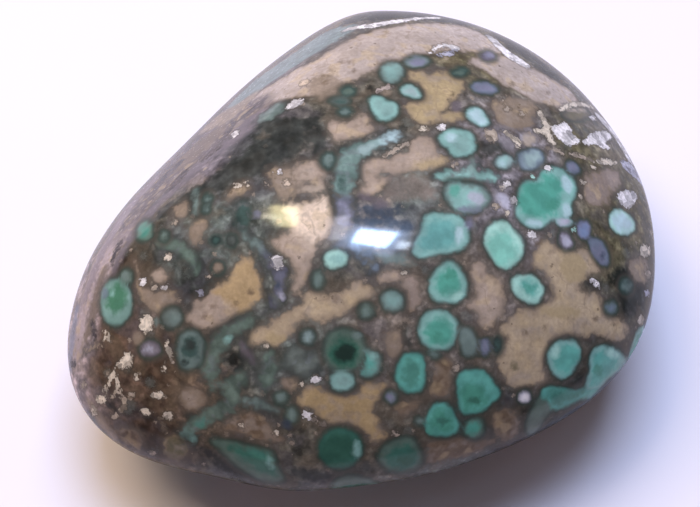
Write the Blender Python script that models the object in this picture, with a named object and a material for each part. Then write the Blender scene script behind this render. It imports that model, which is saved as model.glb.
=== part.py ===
"""Variscite clam pseudomorph: one polished stone with the form of a closed clam shell.

Metres, +Z up. The girdle is the rounded edge where the two valves meet. The hinge side is
at -X +Y, where a flank falls away steeply, the narrow end of the shell is at -X -Y, and the
thin margin is at +X and -Y. The stone lies on a flat ground on its lower valve, and the
origin is the middle of its footprint at the level of that flat.
"""

from math import atan2, floor, hypot, pi, sqrt, tan

import bmesh
import bpy
from mathutils import Vector

# Plan of the girdle: its distance from the heart of the stone at equal angles,
# counter-clockwise from +X
GIRDLE_RADII = (
    0.0295, 0.0305, 0.0305, 0.0310, 0.0305, 0.0290, 0.0275, 0.0250,
    0.0230, 0.0215, 0.0215, 0.0230, 0.0245, 0.0275, 0.0295, 0.0280,
    0.0245, 0.0240, 0.0225, 0.0225, 0.0230, 0.0245, 0.0270, 0.0290,
)

# Heights, from the ground flat up
GIRDLE_HEIGHT = 0.0110
UPPER_VALVE_RISE = 0.0146
LOWER_VALVE_DEPTH = 0.0104

# Section of the valves: a superellipse, fuller with a higher power
PLAN_POWER = 2.4
UPPER_CROWN_POWER = 1.25
LOWER_CROWN_POWER = 1.30
GIRDLE_ROUNDING = 0.0014

# Sideways shift of the upper valve for each unit of height, towards the hinge side
LEAN_X = -0.18
LEAN_Y = 0.30
LOWER_LEAN_SHARE = 0.6
LEAN_ROUNDING = 0.0030

# The steep flank between the crown and the hinge
FLANK_NORMAL = Vector((-0.52, 0.42, 0.75)).normalized()
FLANK_DISTANCE = 0.0158
FLANK_BLEND = 0.0030

# Fineness of the facets
FACETS_ALONG_CUBE_EDGE = 26
SPHERE_SQUASH = 0.6
HALVINGS = 32
FARTHEST_REACH = 0.060

STONE_COLOUR = (0.170, 0.155, 0.115, 1.0)
STONE_ROUGHNESS = 0.16


def clear_scene():
    """Remove whatever the scene holds."""
    for thing in list(bpy.data.objects):
        bpy.data.objects.remove(thing, do_unlink=True)


def girdle_radius(angle):
    """Plan radius of the girdle at an angle: a smooth closed cubic spline of the radii."""
    count = len(GIRDLE_RADII)
    place = (angle % (2 * pi)) / (2 * pi) * count
    first = floor(place)
    t = place - first
    weights = (
        (1 - t) ** 3 / 6,
        (3 * t**3 - 6 * t**2 + 4) / 6,
        (-3 * t**3 + 3 * t**2 + 3 * t + 1) / 6,
        t**3 / 6,
    )
    return sum(w * GIRDLE_RADII[(first - 1 + k) % count] for k, w in enumerate(weights))


def valve_reach(direction):
    """Distance from the heart to the plain valves along a unit direction, by halving."""
    radius = girdle_radius(atan2(direction.y, direction.x))
    upper = direction.z > 0
    rise = UPPER_VALVE_RISE if upper else LOWER_VALVE_DEPTH
    crown_power = UPPER_CROWN_POWER if upper else LOWER_CROWN_POWER
    across = hypot(direction.x, direction.y)
    near, far = 0.0, FARTHEST_REACH
    for _ in range(HALVINGS):
        middle = (near + far) / 2
        height = hypot(middle * direction.z, GIRDLE_ROUNDING) - GIRDLE_ROUNDING
        if (middle * across / radius) ** PLAN_POWER + (height / rise) ** crown_power < 1:
            near = middle
        else:
            far = middle
    return (near + far) / 2


def cut_by_flank(reach, direction):
    """Shorten the reach where the flank's plane lies inside the valve, with a soft border."""
    facing = direction.dot(FLANK_NORMAL)
    if facing <= FLANK_DISTANCE / FARTHEST_REACH:
        return reach
    plane_reach = FLANK_DISTANCE / facing
    share = min(1.0, max(0.0, 0.5 + 0.5 * (plane_reach - reach) / FLANK_BLEND))
    blend = plane_reach * (1 - share) + reach * share
    return blend - FLANK_BLEND * share * (1 - share)


def surface_point(direction):
    """Point of the stone's surface along a direction from its heart."""
    point = direction * cut_by_flank(valve_reach(direction), direction)
    shift = sqrt(point.z**2 + LEAN_ROUNDING**2) - LEAN_ROUNDING
    if point.z < 0:
        shift *= LOWER_LEAN_SHARE
    point.x += LEAN_X * shift
    point.y += LEAN_Y * shift
    point.z += GIRDLE_HEIGHT
    return point


def stone_mesh():
    """Mesh of the stone, from a cube whose grid is spread evenly over all directions."""
    shape = bmesh.new()
    bmesh.ops.create_cube(shape, size=2.0)
    cuts = FACETS_ALONG_CUBE_EDGE - 1
    bmesh.ops.subdivide_edges(shape, edges=shape.edges[:], cuts=cuts, use_grid_fill=True)
    for vertex in shape.verts:
        even = Vector([tan(value * pi / 4) for value in vertex.co]).normalized()
        even.z *= SPHERE_SQUASH
        vertex.co = surface_point(even.normalized())
        vertex.co.z = max(vertex.co.z, 0.0)
    centre_footprint(shape)
    mesh = bpy.data.meshes.new("variscite_clam")
    shape.to_mesh(mesh)
    shape.free()
    mesh.shade_smooth()
    return mesh


def centre_footprint(shape):
    """Move the middle of the footprint to the origin."""
    for axis in range(2):
        values = [vertex.co[axis] for vertex in shape.verts]
        middle = (min(values) + max(values)) / 2
        for vertex in shape.verts:
            vertex.co[axis] -= middle


def stone_material():
    """Polished mottled stone: the mean of its browns, greys and greens."""
    material = bpy.data.materials.new("polished_variscite")
    material.use_nodes = True
    shader = material.node_tree.nodes["Principled BSDF"]
    shader.inputs["Base Color"].default_value = STONE_COLOUR
    shader.inputs["Roughness"].default_value = STONE_ROUGHNESS
    shader.inputs["Metallic"].default_value = 0.0
    return material


def build():
    """Make the stone."""
    clear_scene()
    mesh = stone_mesh()
    mesh.materials.append(stone_material())
    stone = bpy.data.objects.new("variscite_clam", mesh)
    bpy.context.scene.collection.objects.link(stone)


build()
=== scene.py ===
"""Looks of the variscite clam: a polished stone of brown and tan rock with green nodules.

Metres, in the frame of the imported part. The markings are placed by where the photograph
shows them: each place is a pixel, which a ray from the camera carries on to the stone. The
markings of the hidden sides are drawn from a seeded generator, in the same manner.
"""

from collections import namedtuple
from math import atan2, cos, pi, radians, sin

import bpy
import numpy as np
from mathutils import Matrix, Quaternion, Vector
from mathutils.bvhtree import BVHTree


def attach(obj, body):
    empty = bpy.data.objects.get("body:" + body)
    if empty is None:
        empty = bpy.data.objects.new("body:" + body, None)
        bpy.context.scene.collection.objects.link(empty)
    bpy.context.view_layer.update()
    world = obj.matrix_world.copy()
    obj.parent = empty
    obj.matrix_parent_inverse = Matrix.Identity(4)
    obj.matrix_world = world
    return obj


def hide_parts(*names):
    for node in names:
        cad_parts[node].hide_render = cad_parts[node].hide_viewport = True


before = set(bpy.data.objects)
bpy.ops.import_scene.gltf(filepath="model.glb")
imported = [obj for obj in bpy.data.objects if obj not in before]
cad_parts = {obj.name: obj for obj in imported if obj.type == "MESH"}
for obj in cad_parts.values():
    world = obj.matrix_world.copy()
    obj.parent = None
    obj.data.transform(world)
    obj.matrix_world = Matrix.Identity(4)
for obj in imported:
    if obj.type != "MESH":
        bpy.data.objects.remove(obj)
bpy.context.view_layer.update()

# The camera, as the photograph was taken
PHOTO_WIDTH = 700
PHOTO_HEIGHT = 507
SENSOR = 36.0
LENS = 80.0
CAMERA_DISTANCE = 0.150
CAMERA_ELEVATION = radians(60)
CAMERA_AIM = Vector((-0.0016, -0.0019, 0.0120))
CAMERA_BACK = Vector((0.0, -cos(CAMERA_ELEVATION), sin(CAMERA_ELEVATION)))
CAMERA_RIGHT = Vector((1.0, 0.0, 0.0))
CAMERA_UP = CAMERA_BACK.cross(CAMERA_RIGHT)
CAMERA_PLACE = CAMERA_AIM + CAMERA_BACK * CAMERA_DISTANCE
PIXELS_PER_SLOPE = PHOTO_WIDTH * LENS / SENSOR
STONE_MIDDLE_PIXEL = (350, 260)

MM = 0.001

# The stone's mesh: how often it is halved, and how close points are merged
SMOOTHING_LEVELS = 2
MERGE_DISTANCE = 0.001 * MM

# Markings: how squarely a point faces the camera to be marked or hit, and how squarely it
# faces out beside a hidden nodule, to be on the same side
MARKED_FACING = 0.04
HIT_FACING = 0.06
SAME_SIDE_FACING = 0.2

# A pixel just off the outline moves in towards the middle of the stone by these steps
INWARD_STEPS = 60
INWARD_SHARE = 0.005

# How far round a marking its distance is worked out, in pixels, the largest distance that is
# kept, in millimetres, and the largest radius of a stroke
MARK_REACH = 22
FARTHEST_KEPT = 9
WIDEST_STROKE = 2.8 * MM

# Guards against dividing by nothing and against powers out of range
LEAST_LENGTH = 1e-12
LEAST_SQUARE = 1e-18
LEAST_WEIGHT = 1e-300
LARGEST_POWER = 60

# Lights: where they aim, and how far off stand those that show in the polish and the soft ones
LIGHT_AIM = Vector((0.0, 0.0, 0.015))
SHINE_DISTANCE = 0.55
SOFT_DISTANCE = 0.85

# Each light: degrees from +Y towards +X, degrees up, width and height in metres, colour, power
# in watts, whether it shows in the polish or lights the rest, and its turn in degrees
LIGHTS = (
    ("window", 118.7, 76.2, (0.052, 0.080), (0.42, 0.62, 1.0), 2.0, True, 12),
    ("window_pane", 118.0, 69.1, (0.022, 0.022), (0.66, 0.80, 1.0), 0.09, True, 18),
    ("window_glow", 121.8, 76.0, (0.088, 0.125), (0.50, 0.64, 1.0), 0.50, True, 12),
    ("window_side", 114.6, 84.8, (0.092, 0.028), (0.86, 0.84, 1.0), 0.17, True, 25),
    ("lamp", -63.8, 81.3, (0.078, 0.042), (1.0, 0.88, 0.48), 0.40, True, 26),
    ("lamp_side", -72.8, 78.9, (0.015, 0.015), (1.0, 0.92, 0.72), 0.030, True, 18),
    ("soft_key", -55, 55, (0.45, 0.45), (1.0, 0.80, 0.52), 5.8, False, 0),
    ("soft_fill", 6, 67, (0.48, 0.48), (0.64, 0.77, 1.0), 7.9, False, 0),
)

# The dim room as it lights the stone, as the polish shows it and as the camera sees it
ROOM_LIGHT = (0.145, 0.12, 0.108, 1.0)
ROOM_SHINE = (0.06, 0.06, 0.07, 1.0)
BACKDROP = (0.95, 0.91, 0.99, 1.0)

# The paper: its size, how far it is below the stone, its two close tones, and the size in
# millimetres of the lumps in which they change
PAPER_SIZE = 4.0
PAPER_GAP = 0.1 * MM
PAPER_TONES = ((0.765, 0.72, 0.85, 1.0), (0.785, 0.745, 0.87, 1.0))
PAPER_LUMP = 30.0

# Noises of the rock: size of the lumps in millimetres, and detail
NOISES = {
    "broad": (2.6, 2.0),
    "cloud": (1.4, 1.0),
    "middle": (0.8, 1.5),
    "small": (0.34, 1.5),
    "fine": (0.15, 1.0),
}

# Colours of the rock, as seen in even light, in 0 to 255, and how much lighter it all is
LIGHTNESS = 1.25
PALETTE = {
    "mint": (117, 172, 162),
    "pale mint": (150, 186, 180),
    "hazy teal": (92, 142, 142),
    "sea green": (76, 138, 126),
    "bottle green": (68, 126, 112),
    "deep green": (47, 83, 72),
    "jade": (68, 116, 107),
    "dark jade": (53, 92, 83),
    "vivid green": (64, 104, 86),
    "teal": (88, 149, 142),
    "pale teal": (122, 158, 156),
    "dull teal": (82, 96, 90),
    "grey teal": (98, 112, 111),
    "dark teal": (54, 72, 70),
    "pale blue": (160, 182, 192),
    "grey blue": (96, 106, 122),
    "lavender": (108, 108, 128),
    "pale lavender": (156, 154, 172),
    "violet grey": (92, 84, 92),
    "navy": (52, 60, 74),
    "white": (206, 200, 206),
    "cream": (190, 178, 168),
    "dull cream": (156, 143, 134),
    "pale tan": (198, 179, 166),
    "tan": (155, 138, 119),
    "pink tan": (150, 134, 125),
    "hinge pink": (156, 143, 140),
    "ochre": (147, 130, 104),
    "dark ochre": (148, 127, 97),
    "orange ochre": (152, 129, 97),
    "dull tan": (124, 110, 100),
    "brown": (94, 79, 67),
    "earth": (70, 55, 46),
    "dark earth": (48, 37, 31),
    "flank lilac": (79, 70, 74),
    "flank pale": (112, 101, 110),
    "flank tan": (92, 79, 71),
    "flank sky": (108, 121, 126),
    "flank low": (142, 128, 134),
    "dull vein": (92, 112, 110),
    "misty teal": (110, 138, 137),
    "misty pale": (136, 154, 158),
    "bean blue": (104, 117, 148),
    "ink": (82, 82, 98),
    "olive": (88, 82, 64),
    "grey olive": (76, 72, 66),
    "grey brown": (100, 92, 88),
    "violet haze": (112, 107, 114),
    "dusty pink": (132, 118, 113),
    "grey green": (84, 90, 88),
    "dark": (46, 48, 47),
    "black green": (26, 31, 30),
    "black": (22, 22, 22),
}

# A marking by its outline: pixels in order round it
Outline = namedtuple("Outline", "name colour places")

# A marking by its run: pixels in order along it, each with its width there
Stroke = namedtuple("Stroke", "name colour places")

# A marking that is an oval: its middle, width and height in pixels, and its turn in degrees
Oval = namedtuple("Oval", "name colour x y wide tall turn", defaults=(0,))

# A nodule: colours of its core and rim, its outline, the core's size as a share of it, the
# core's shift in pixels, and the core's own outline where it has one
Nodule = namedtuple("Nodule", "name core rim places share dx dy inner", defaults=(0.6, 0, 0, None))


def oval(x, y, wide, tall, turn=0):
    """Outline of an oval: middle, width and height in pixels, and turn in degrees."""
    places = []
    for index in range(8):
        angle = index * pi / 4
        across, down = cos(angle) * wide / 2, sin(angle) * tall / 2
        places.append((x + across * cos(radians(turn)) - down * sin(radians(turn)),
                       y + across * sin(radians(turn)) + down * cos(radians(turn))))
    return tuple(places)


# Green, teal and grey nodules
NODULES = (
    Nodule("mint egg", "mint", "pale mint", (
        (497, 221), (507, 222), (514, 230), (521, 238), (524, 247), (521, 256), (515, 264), (508, 269),
        (500, 267), (493, 260), (488, 252), (484, 243), (485, 233), (490, 225)), 0.72, -1, 4),
    Nodule("upright egg", "sea green", "pale teal", (
        (446, 262), (454, 262), (460, 268), (466, 280), (467, 292), (462, 300), (452, 303), (440, 302),
        (433, 299), (429, 290), (430, 280), (436, 270)), 0.64, 0, -2),
    Nodule("ringed round", "sea green", "pale teal", (
        (428, 312), (440, 310), (450, 313), (457, 322), (457, 332), (454, 343), (447, 349), (435, 350),
        (425, 345), (419, 336), (419, 326), (422, 317)), 0.7, 0, 0, (
        (432, 320), (445, 318), (452, 328), (450, 341), (440, 345), (429, 342), (425, 332))),
    Nodule("ringed round foot", "grey teal", "dull teal", oval(434, 354, 12, 8), 0.5),
    Nodule("hazy round", "hazy teal", "pale teal", (
        (425, 216), (440, 213), (455, 214), (465, 222), (469, 234), (466, 246), (455, 252), (440, 254),
        (425, 258), (413, 254), (416, 240), (422, 228)), 0.66, -3, 0),
    Nodule("pale oval", "teal", "pale mint", (
        (515, 276), (524, 275), (534, 276), (540, 282), (544, 290), (541, 299), (533, 304), (524, 301),
        (515, 294), (511, 285)), 0.5, 1, -1),
    Nodule("dull egg", "misty teal", "grey teal", (
        (383, 294), (392, 291), (400, 294), (403, 300), (402, 308), (395, 311), (386, 310),
        (382, 302))),
    Nodule("dull small", "grey teal", "dull teal", oval(366, 311, 15, 14)),
    Nodule("tall oval", "jade", "teal", (
        (404, 355), (414, 353), (423, 356), (425, 366), (425, 378), (423, 388), (415, 393), (406, 392),
        (399, 386), (395, 376), (397, 366)), 0.64, 1, 0, (
        (407, 361), (414, 360), (420, 370), (418, 381), (410, 386), (403, 378))),
    Nodule("pentagon", "bottle green", "teal", (
        (460, 373), (470, 370), (483, 370), (490, 377), (496, 385), (500, 392), (497, 399), (490, 405),
        (483, 411), (472, 414), (462, 413), (459, 405), (457, 392), (457, 380)), 0.64, -3, 5),
    Nodule("heart", "bottle green", "teal", (
        (437, 403), (445, 403), (451, 408), (455, 416), (459, 424), (457, 432), (448, 436), (436, 436),
        (427, 432), (425, 422), (428, 413), (432, 406)), 0.7, 0, 1),
    Nodule("small dull", "sea green", "dull teal", (
        (474, 417), (481, 419), (484, 428), (482, 435), (474, 438), (466, 435), (464, 430),
        (467, 422))),
    Nodule("lower dark", "dark jade", "dull teal", (
        (400, 438), (410, 437), (416, 443), (421, 452), (421, 462), (415, 469), (403, 472), (390, 471),
        (381, 464), (378, 455), (384, 446), (392, 441)), 0.74, 1, 3),
    Nodule("lower bottle", "deep green", "dark jade", (
        (332, 429), (343, 428), (354, 432), (361, 440), (362, 452), (356, 462), (345, 468), (332, 468),
        (322, 461), (318, 449), (322, 437)), 0.8, -3, 1),
    Nodule("black green", "deep green", "dull teal", (
        (334, 331), (345, 329), (357, 333), (364, 343), (365, 355), (359, 366), (347, 372), (335, 370),
        (327, 362), (324, 350), (327, 338)), 0.72, -1, 3),
    Nodule("its teal twin", "teal", "grey teal", (
        (360, 349), (369, 349), (378, 354), (381, 362), (378, 372), (368, 377), (360, 374), (364, 366),
        (366, 357)), 0.6, -1, 2),
    Nodule("pale lens", "misty teal", "pale teal", (
        (330, 378), (336, 372), (346, 371), (354, 377), (354, 385), (346, 391), (334, 389))),
    Nodule("grey oval", "grey teal", "grey teal", (
        (462, 328), (470, 329), (475, 336), (477, 348), (472, 356), (464, 354), (460, 345),
        (459, 335)), 0.6, 1, 2),
    Nodule("grey dot", "lavender", "grey blue", oval(485, 347, 10, 17)),
    Nodule("dark neighbour", "dark teal", "dark", oval(497, 345, 9, 16)),
    Nodule("pale bead", "misty pale", "grey teal", oval(308, 337, 12, 14), 0.5),
    Nodule("dull bean", "grey teal", "dull teal", oval(318, 280, 11, 17)),
    Nodule("big green", "sea green", "pale teal", (
        (519, 190), (526, 181), (538, 178), (544, 169), (556, 167), (567, 173), (575, 182), (576, 194),
        (572, 203), (572, 214), (564, 218), (552, 220), (543, 227), (530, 228), (521, 222), (515, 213),
        (517, 202)), 0.84, 0, 0, (
        (522, 187), (530, 181), (541, 181), (545, 173), (554, 175), (562, 183), (563, 193), (560, 200),
        (558, 210), (550, 216), (538, 217), (527, 215), (519, 208), (518, 197))),
    Nodule("big green toe", "pale lavender", "pale teal", (
        (555, 218), (567, 217), (573, 222), (568, 227), (558, 225))),
    Nodule("right pale", "pale blue", "pale mint", (
        (613, 211), (620, 209), (628, 214), (634, 221), (635, 229), (628, 234), (618, 234), (611, 227),
        (609, 218)), 0.7),
    Nodule("right round", "teal", "pale teal", (
        (553, 345), (563, 340), (573, 340), (580, 347), (580, 357), (576, 367), (569, 376), (561, 379),
        (554, 374), (549, 366), (547, 356)), 0.74, 2, 1),
    Nodule("flame head", "teal", "pale teal", (
        (593, 350), (600, 345), (612, 347), (620, 352), (626, 360), (620, 370), (610, 378), (600, 388),
        (588, 391), (586, 382), (590, 370), (589, 360)), 0.74, -1, 2),
    Nodule("flame middle", "jade", "teal", (
        (543, 389), (556, 387), (572, 390), (586, 388), (600, 386), (592, 397), (578, 401), (566, 407),
        (555, 410), (541, 402)), 0.6, -4, 0),
    Nodule("flame foot", "dull teal", "dull teal", (
        (540, 396), (552, 398), (552, 408), (544, 420), (534, 433), (527, 432), (528, 418),
        (534, 406)), 0.66),
    Nodule("white bead", "white", "pale lavender", oval(525, 397, 12, 13), 0.7),
    Nodule("blue bean", "bean blue", "lavender", (
        (579, 221), (587, 221), (591, 228), (589, 236), (583, 239), (578, 234), (577, 227))),
    Nodule("pale bean", "pale lavender", "violet grey", (
        (560, 233), (567, 232), (572, 240), (573, 247), (566, 249), (560, 244)), 0.7),
    Nodule("right lavender", "lavender", "grey blue", (
        (588, 239), (600, 240), (607, 250), (609, 262), (604, 266), (598, 262),
        (592, 252)), 0.6, 0, 2),
    Nodule("right grey", "grey blue", "dull teal", oval(611, 308, 13, 13)),
    Nodule("right dull", "grey teal", "dark teal", oval(626, 286, 13, 14)),
    Nodule("shoulder grey", "lavender", "grey blue", oval(573, 168, 15, 11, 35)),
    Nodule("olive round", "olive", "grey olive", oval(576, 115, 28, 12)),
    Nodule("grey cloud", "misty pale", "grey blue", (
        (518, 155), (526, 150), (536, 149), (544, 155), (543, 163), (537, 168), (529, 170),
        (521, 168))),
    Nodule("cloud teal", "pale teal", "misty pale", oval(504, 162, 19, 13, -10), 0.5, -2, 0),
    Nodule("cloudy big", "pale teal", "grey teal", (
        (445, 186), (452, 181), (463, 183), (475, 184), (486, 190), (490, 199), (483, 209), (470, 213),
        (458, 212), (450, 205), (445, 196)), 0.72, -2, 0),
    Nodule("upper wide", "misty teal", "pale teal", (
        (438, 138), (443, 132), (452, 129), (462, 130), (470, 132), (475, 140), (475, 150), (468, 155),
        (458, 157), (450, 154), (448, 148), (442, 146)), 0.6, 3, 0),
    Nodule("upper pale", "pale blue", "pale teal", (
        (467, 110), (474, 107), (482, 110), (488, 118), (489, 124), (482, 127), (474, 123),
        (467, 117)), 0.66),
    Nodule("upper left", "misty teal", "pale teal", (
        (368, 100), (374, 96), (382, 97), (387, 101), (394, 102), (398, 108), (397, 114), (390, 120),
        (382, 121), (375, 116), (371, 108)), 0.66, 1, 0),
    Nodule("small pale", "misty pale", "pale teal", (
        (400, 88), (408, 84), (415, 87), (420, 92), (420, 98), (412, 98), (404, 95))),
    Nodule("top left", "misty teal", "grey teal", (
        (382, 66), (390, 62), (400, 64), (404, 70), (402, 78), (396, 83), (388, 83), (381, 77)), 0.64),
    Nodule("top lavender", "lavender", "grey teal", (
        (404, 63), (411, 57), (420, 56), (428, 58), (429, 63), (422, 66), (412, 68))),
    Nodule("top dull teal", "dull teal", "dark teal", oval(460, 72, 17, 9, -8), 0.5),
    Nodule("top olive lavender", "lavender", "violet grey", oval(488, 56, 14, 10)),
    Nodule("lavender lens", "lavender", "grey blue", oval(484, 88, 28, 12, 8), 0.7),
    Nodule("dull left", "dull teal", "dark teal", oval(348, 91, 15, 10), 0.5),
    Nodule("dull left teal", "dark teal", "grey green", oval(340, 101, 20, 9), 0.5),
    Nodule("dull left low", "grey teal", "dark teal", oval(345, 111, 14, 9)),
    Nodule("left slot", "grey teal", "dark teal", (
        (323, 157), (330, 153), (334, 158), (332, 166), (327, 169), (322, 164))),
    Nodule("pale drop", "pale teal", "pale mint", (
        (324, 262), (325, 256), (330, 251), (338, 249), (345, 252), (348, 258), (345, 264), (338, 268),
        (330, 268)), 0.6, 2, 0),
    Nodule("vivid core", "vivid green", "misty teal", (
        (104, 287), (110, 281), (118, 279), (126, 284), (131, 292), (132, 303), (130, 314), (124, 322),
        (114, 326), (106, 321), (102, 312), (101, 299)), 0.6, 1, -2, (
        (112, 287), (119, 283), (125, 289), (127, 298), (125, 307), (119, 312), (112, 311), (107, 304),
        (107, 295))),
    Nodule("vivid bud", "grey teal", "dull teal", oval(126, 277, 13, 14)),
    Nodule("left teal", "jade", "dull teal", (
        (139, 224), (146, 221), (152, 225), (152, 236), (146, 241), (139, 240), (137, 232))),
    Nodule("left grey", "grey teal", "grey green", oval(172, 318, 19, 21), 0.6, 2, 0),
    Nodule("lavender eye", "pale lavender", "violet grey", oval(150, 349, 21, 17), 0.42, -2, 0),
    Nodule("dull eye", "dark teal", "grey teal", (
        (183, 333), (192, 330), (200, 335), (204, 345), (202, 358), (196, 367), (187, 370), (180, 364),
        (177, 352), (178, 341)), 0.6, 0, -1),
    Nodule("lavender bead", "lavender", "grey teal", oval(391, 397, 11, 12)),
    Nodule("grey bean", "grey teal", "dull teal", oval(292, 415, 12, 16)),
    Nodule("grey bean low", "grey teal", "dull teal", oval(281, 398, 14, 12)),
    Nodule("small grey", "grey teal", "dull teal", oval(420, 421, 10, 8)),
    Nodule("leaf", "dark jade", "dull teal", (
        (212, 441), (225, 440), (240, 443), (252, 446), (262, 448), (272, 452), (276, 460), (279, 469),
        (284, 480), (274, 482), (262, 480), (252, 475), (240, 468), (230, 460),
        (222, 452)), 0.66, 4, 0),
    Nodule("thread bead", "grey teal", "dull teal", oval(164, 236, 8, 10)),
    Nodule("left bead", "grey teal", "dark teal", oval(208, 198, 8, 8)),
    Nodule("left bead low", "grey teal", "dark teal", oval(206, 209, 7, 8)),
    Nodule("left dark bead", "dark teal", "black green", oval(216, 240, 11, 9)),
    Nodule("left grey bead", "grey green", "dark", oval(231, 241, 11, 11)),
    Nodule("left tan bead", "dull tan", "grey olive", oval(218, 268, 11, 12)),
)

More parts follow.
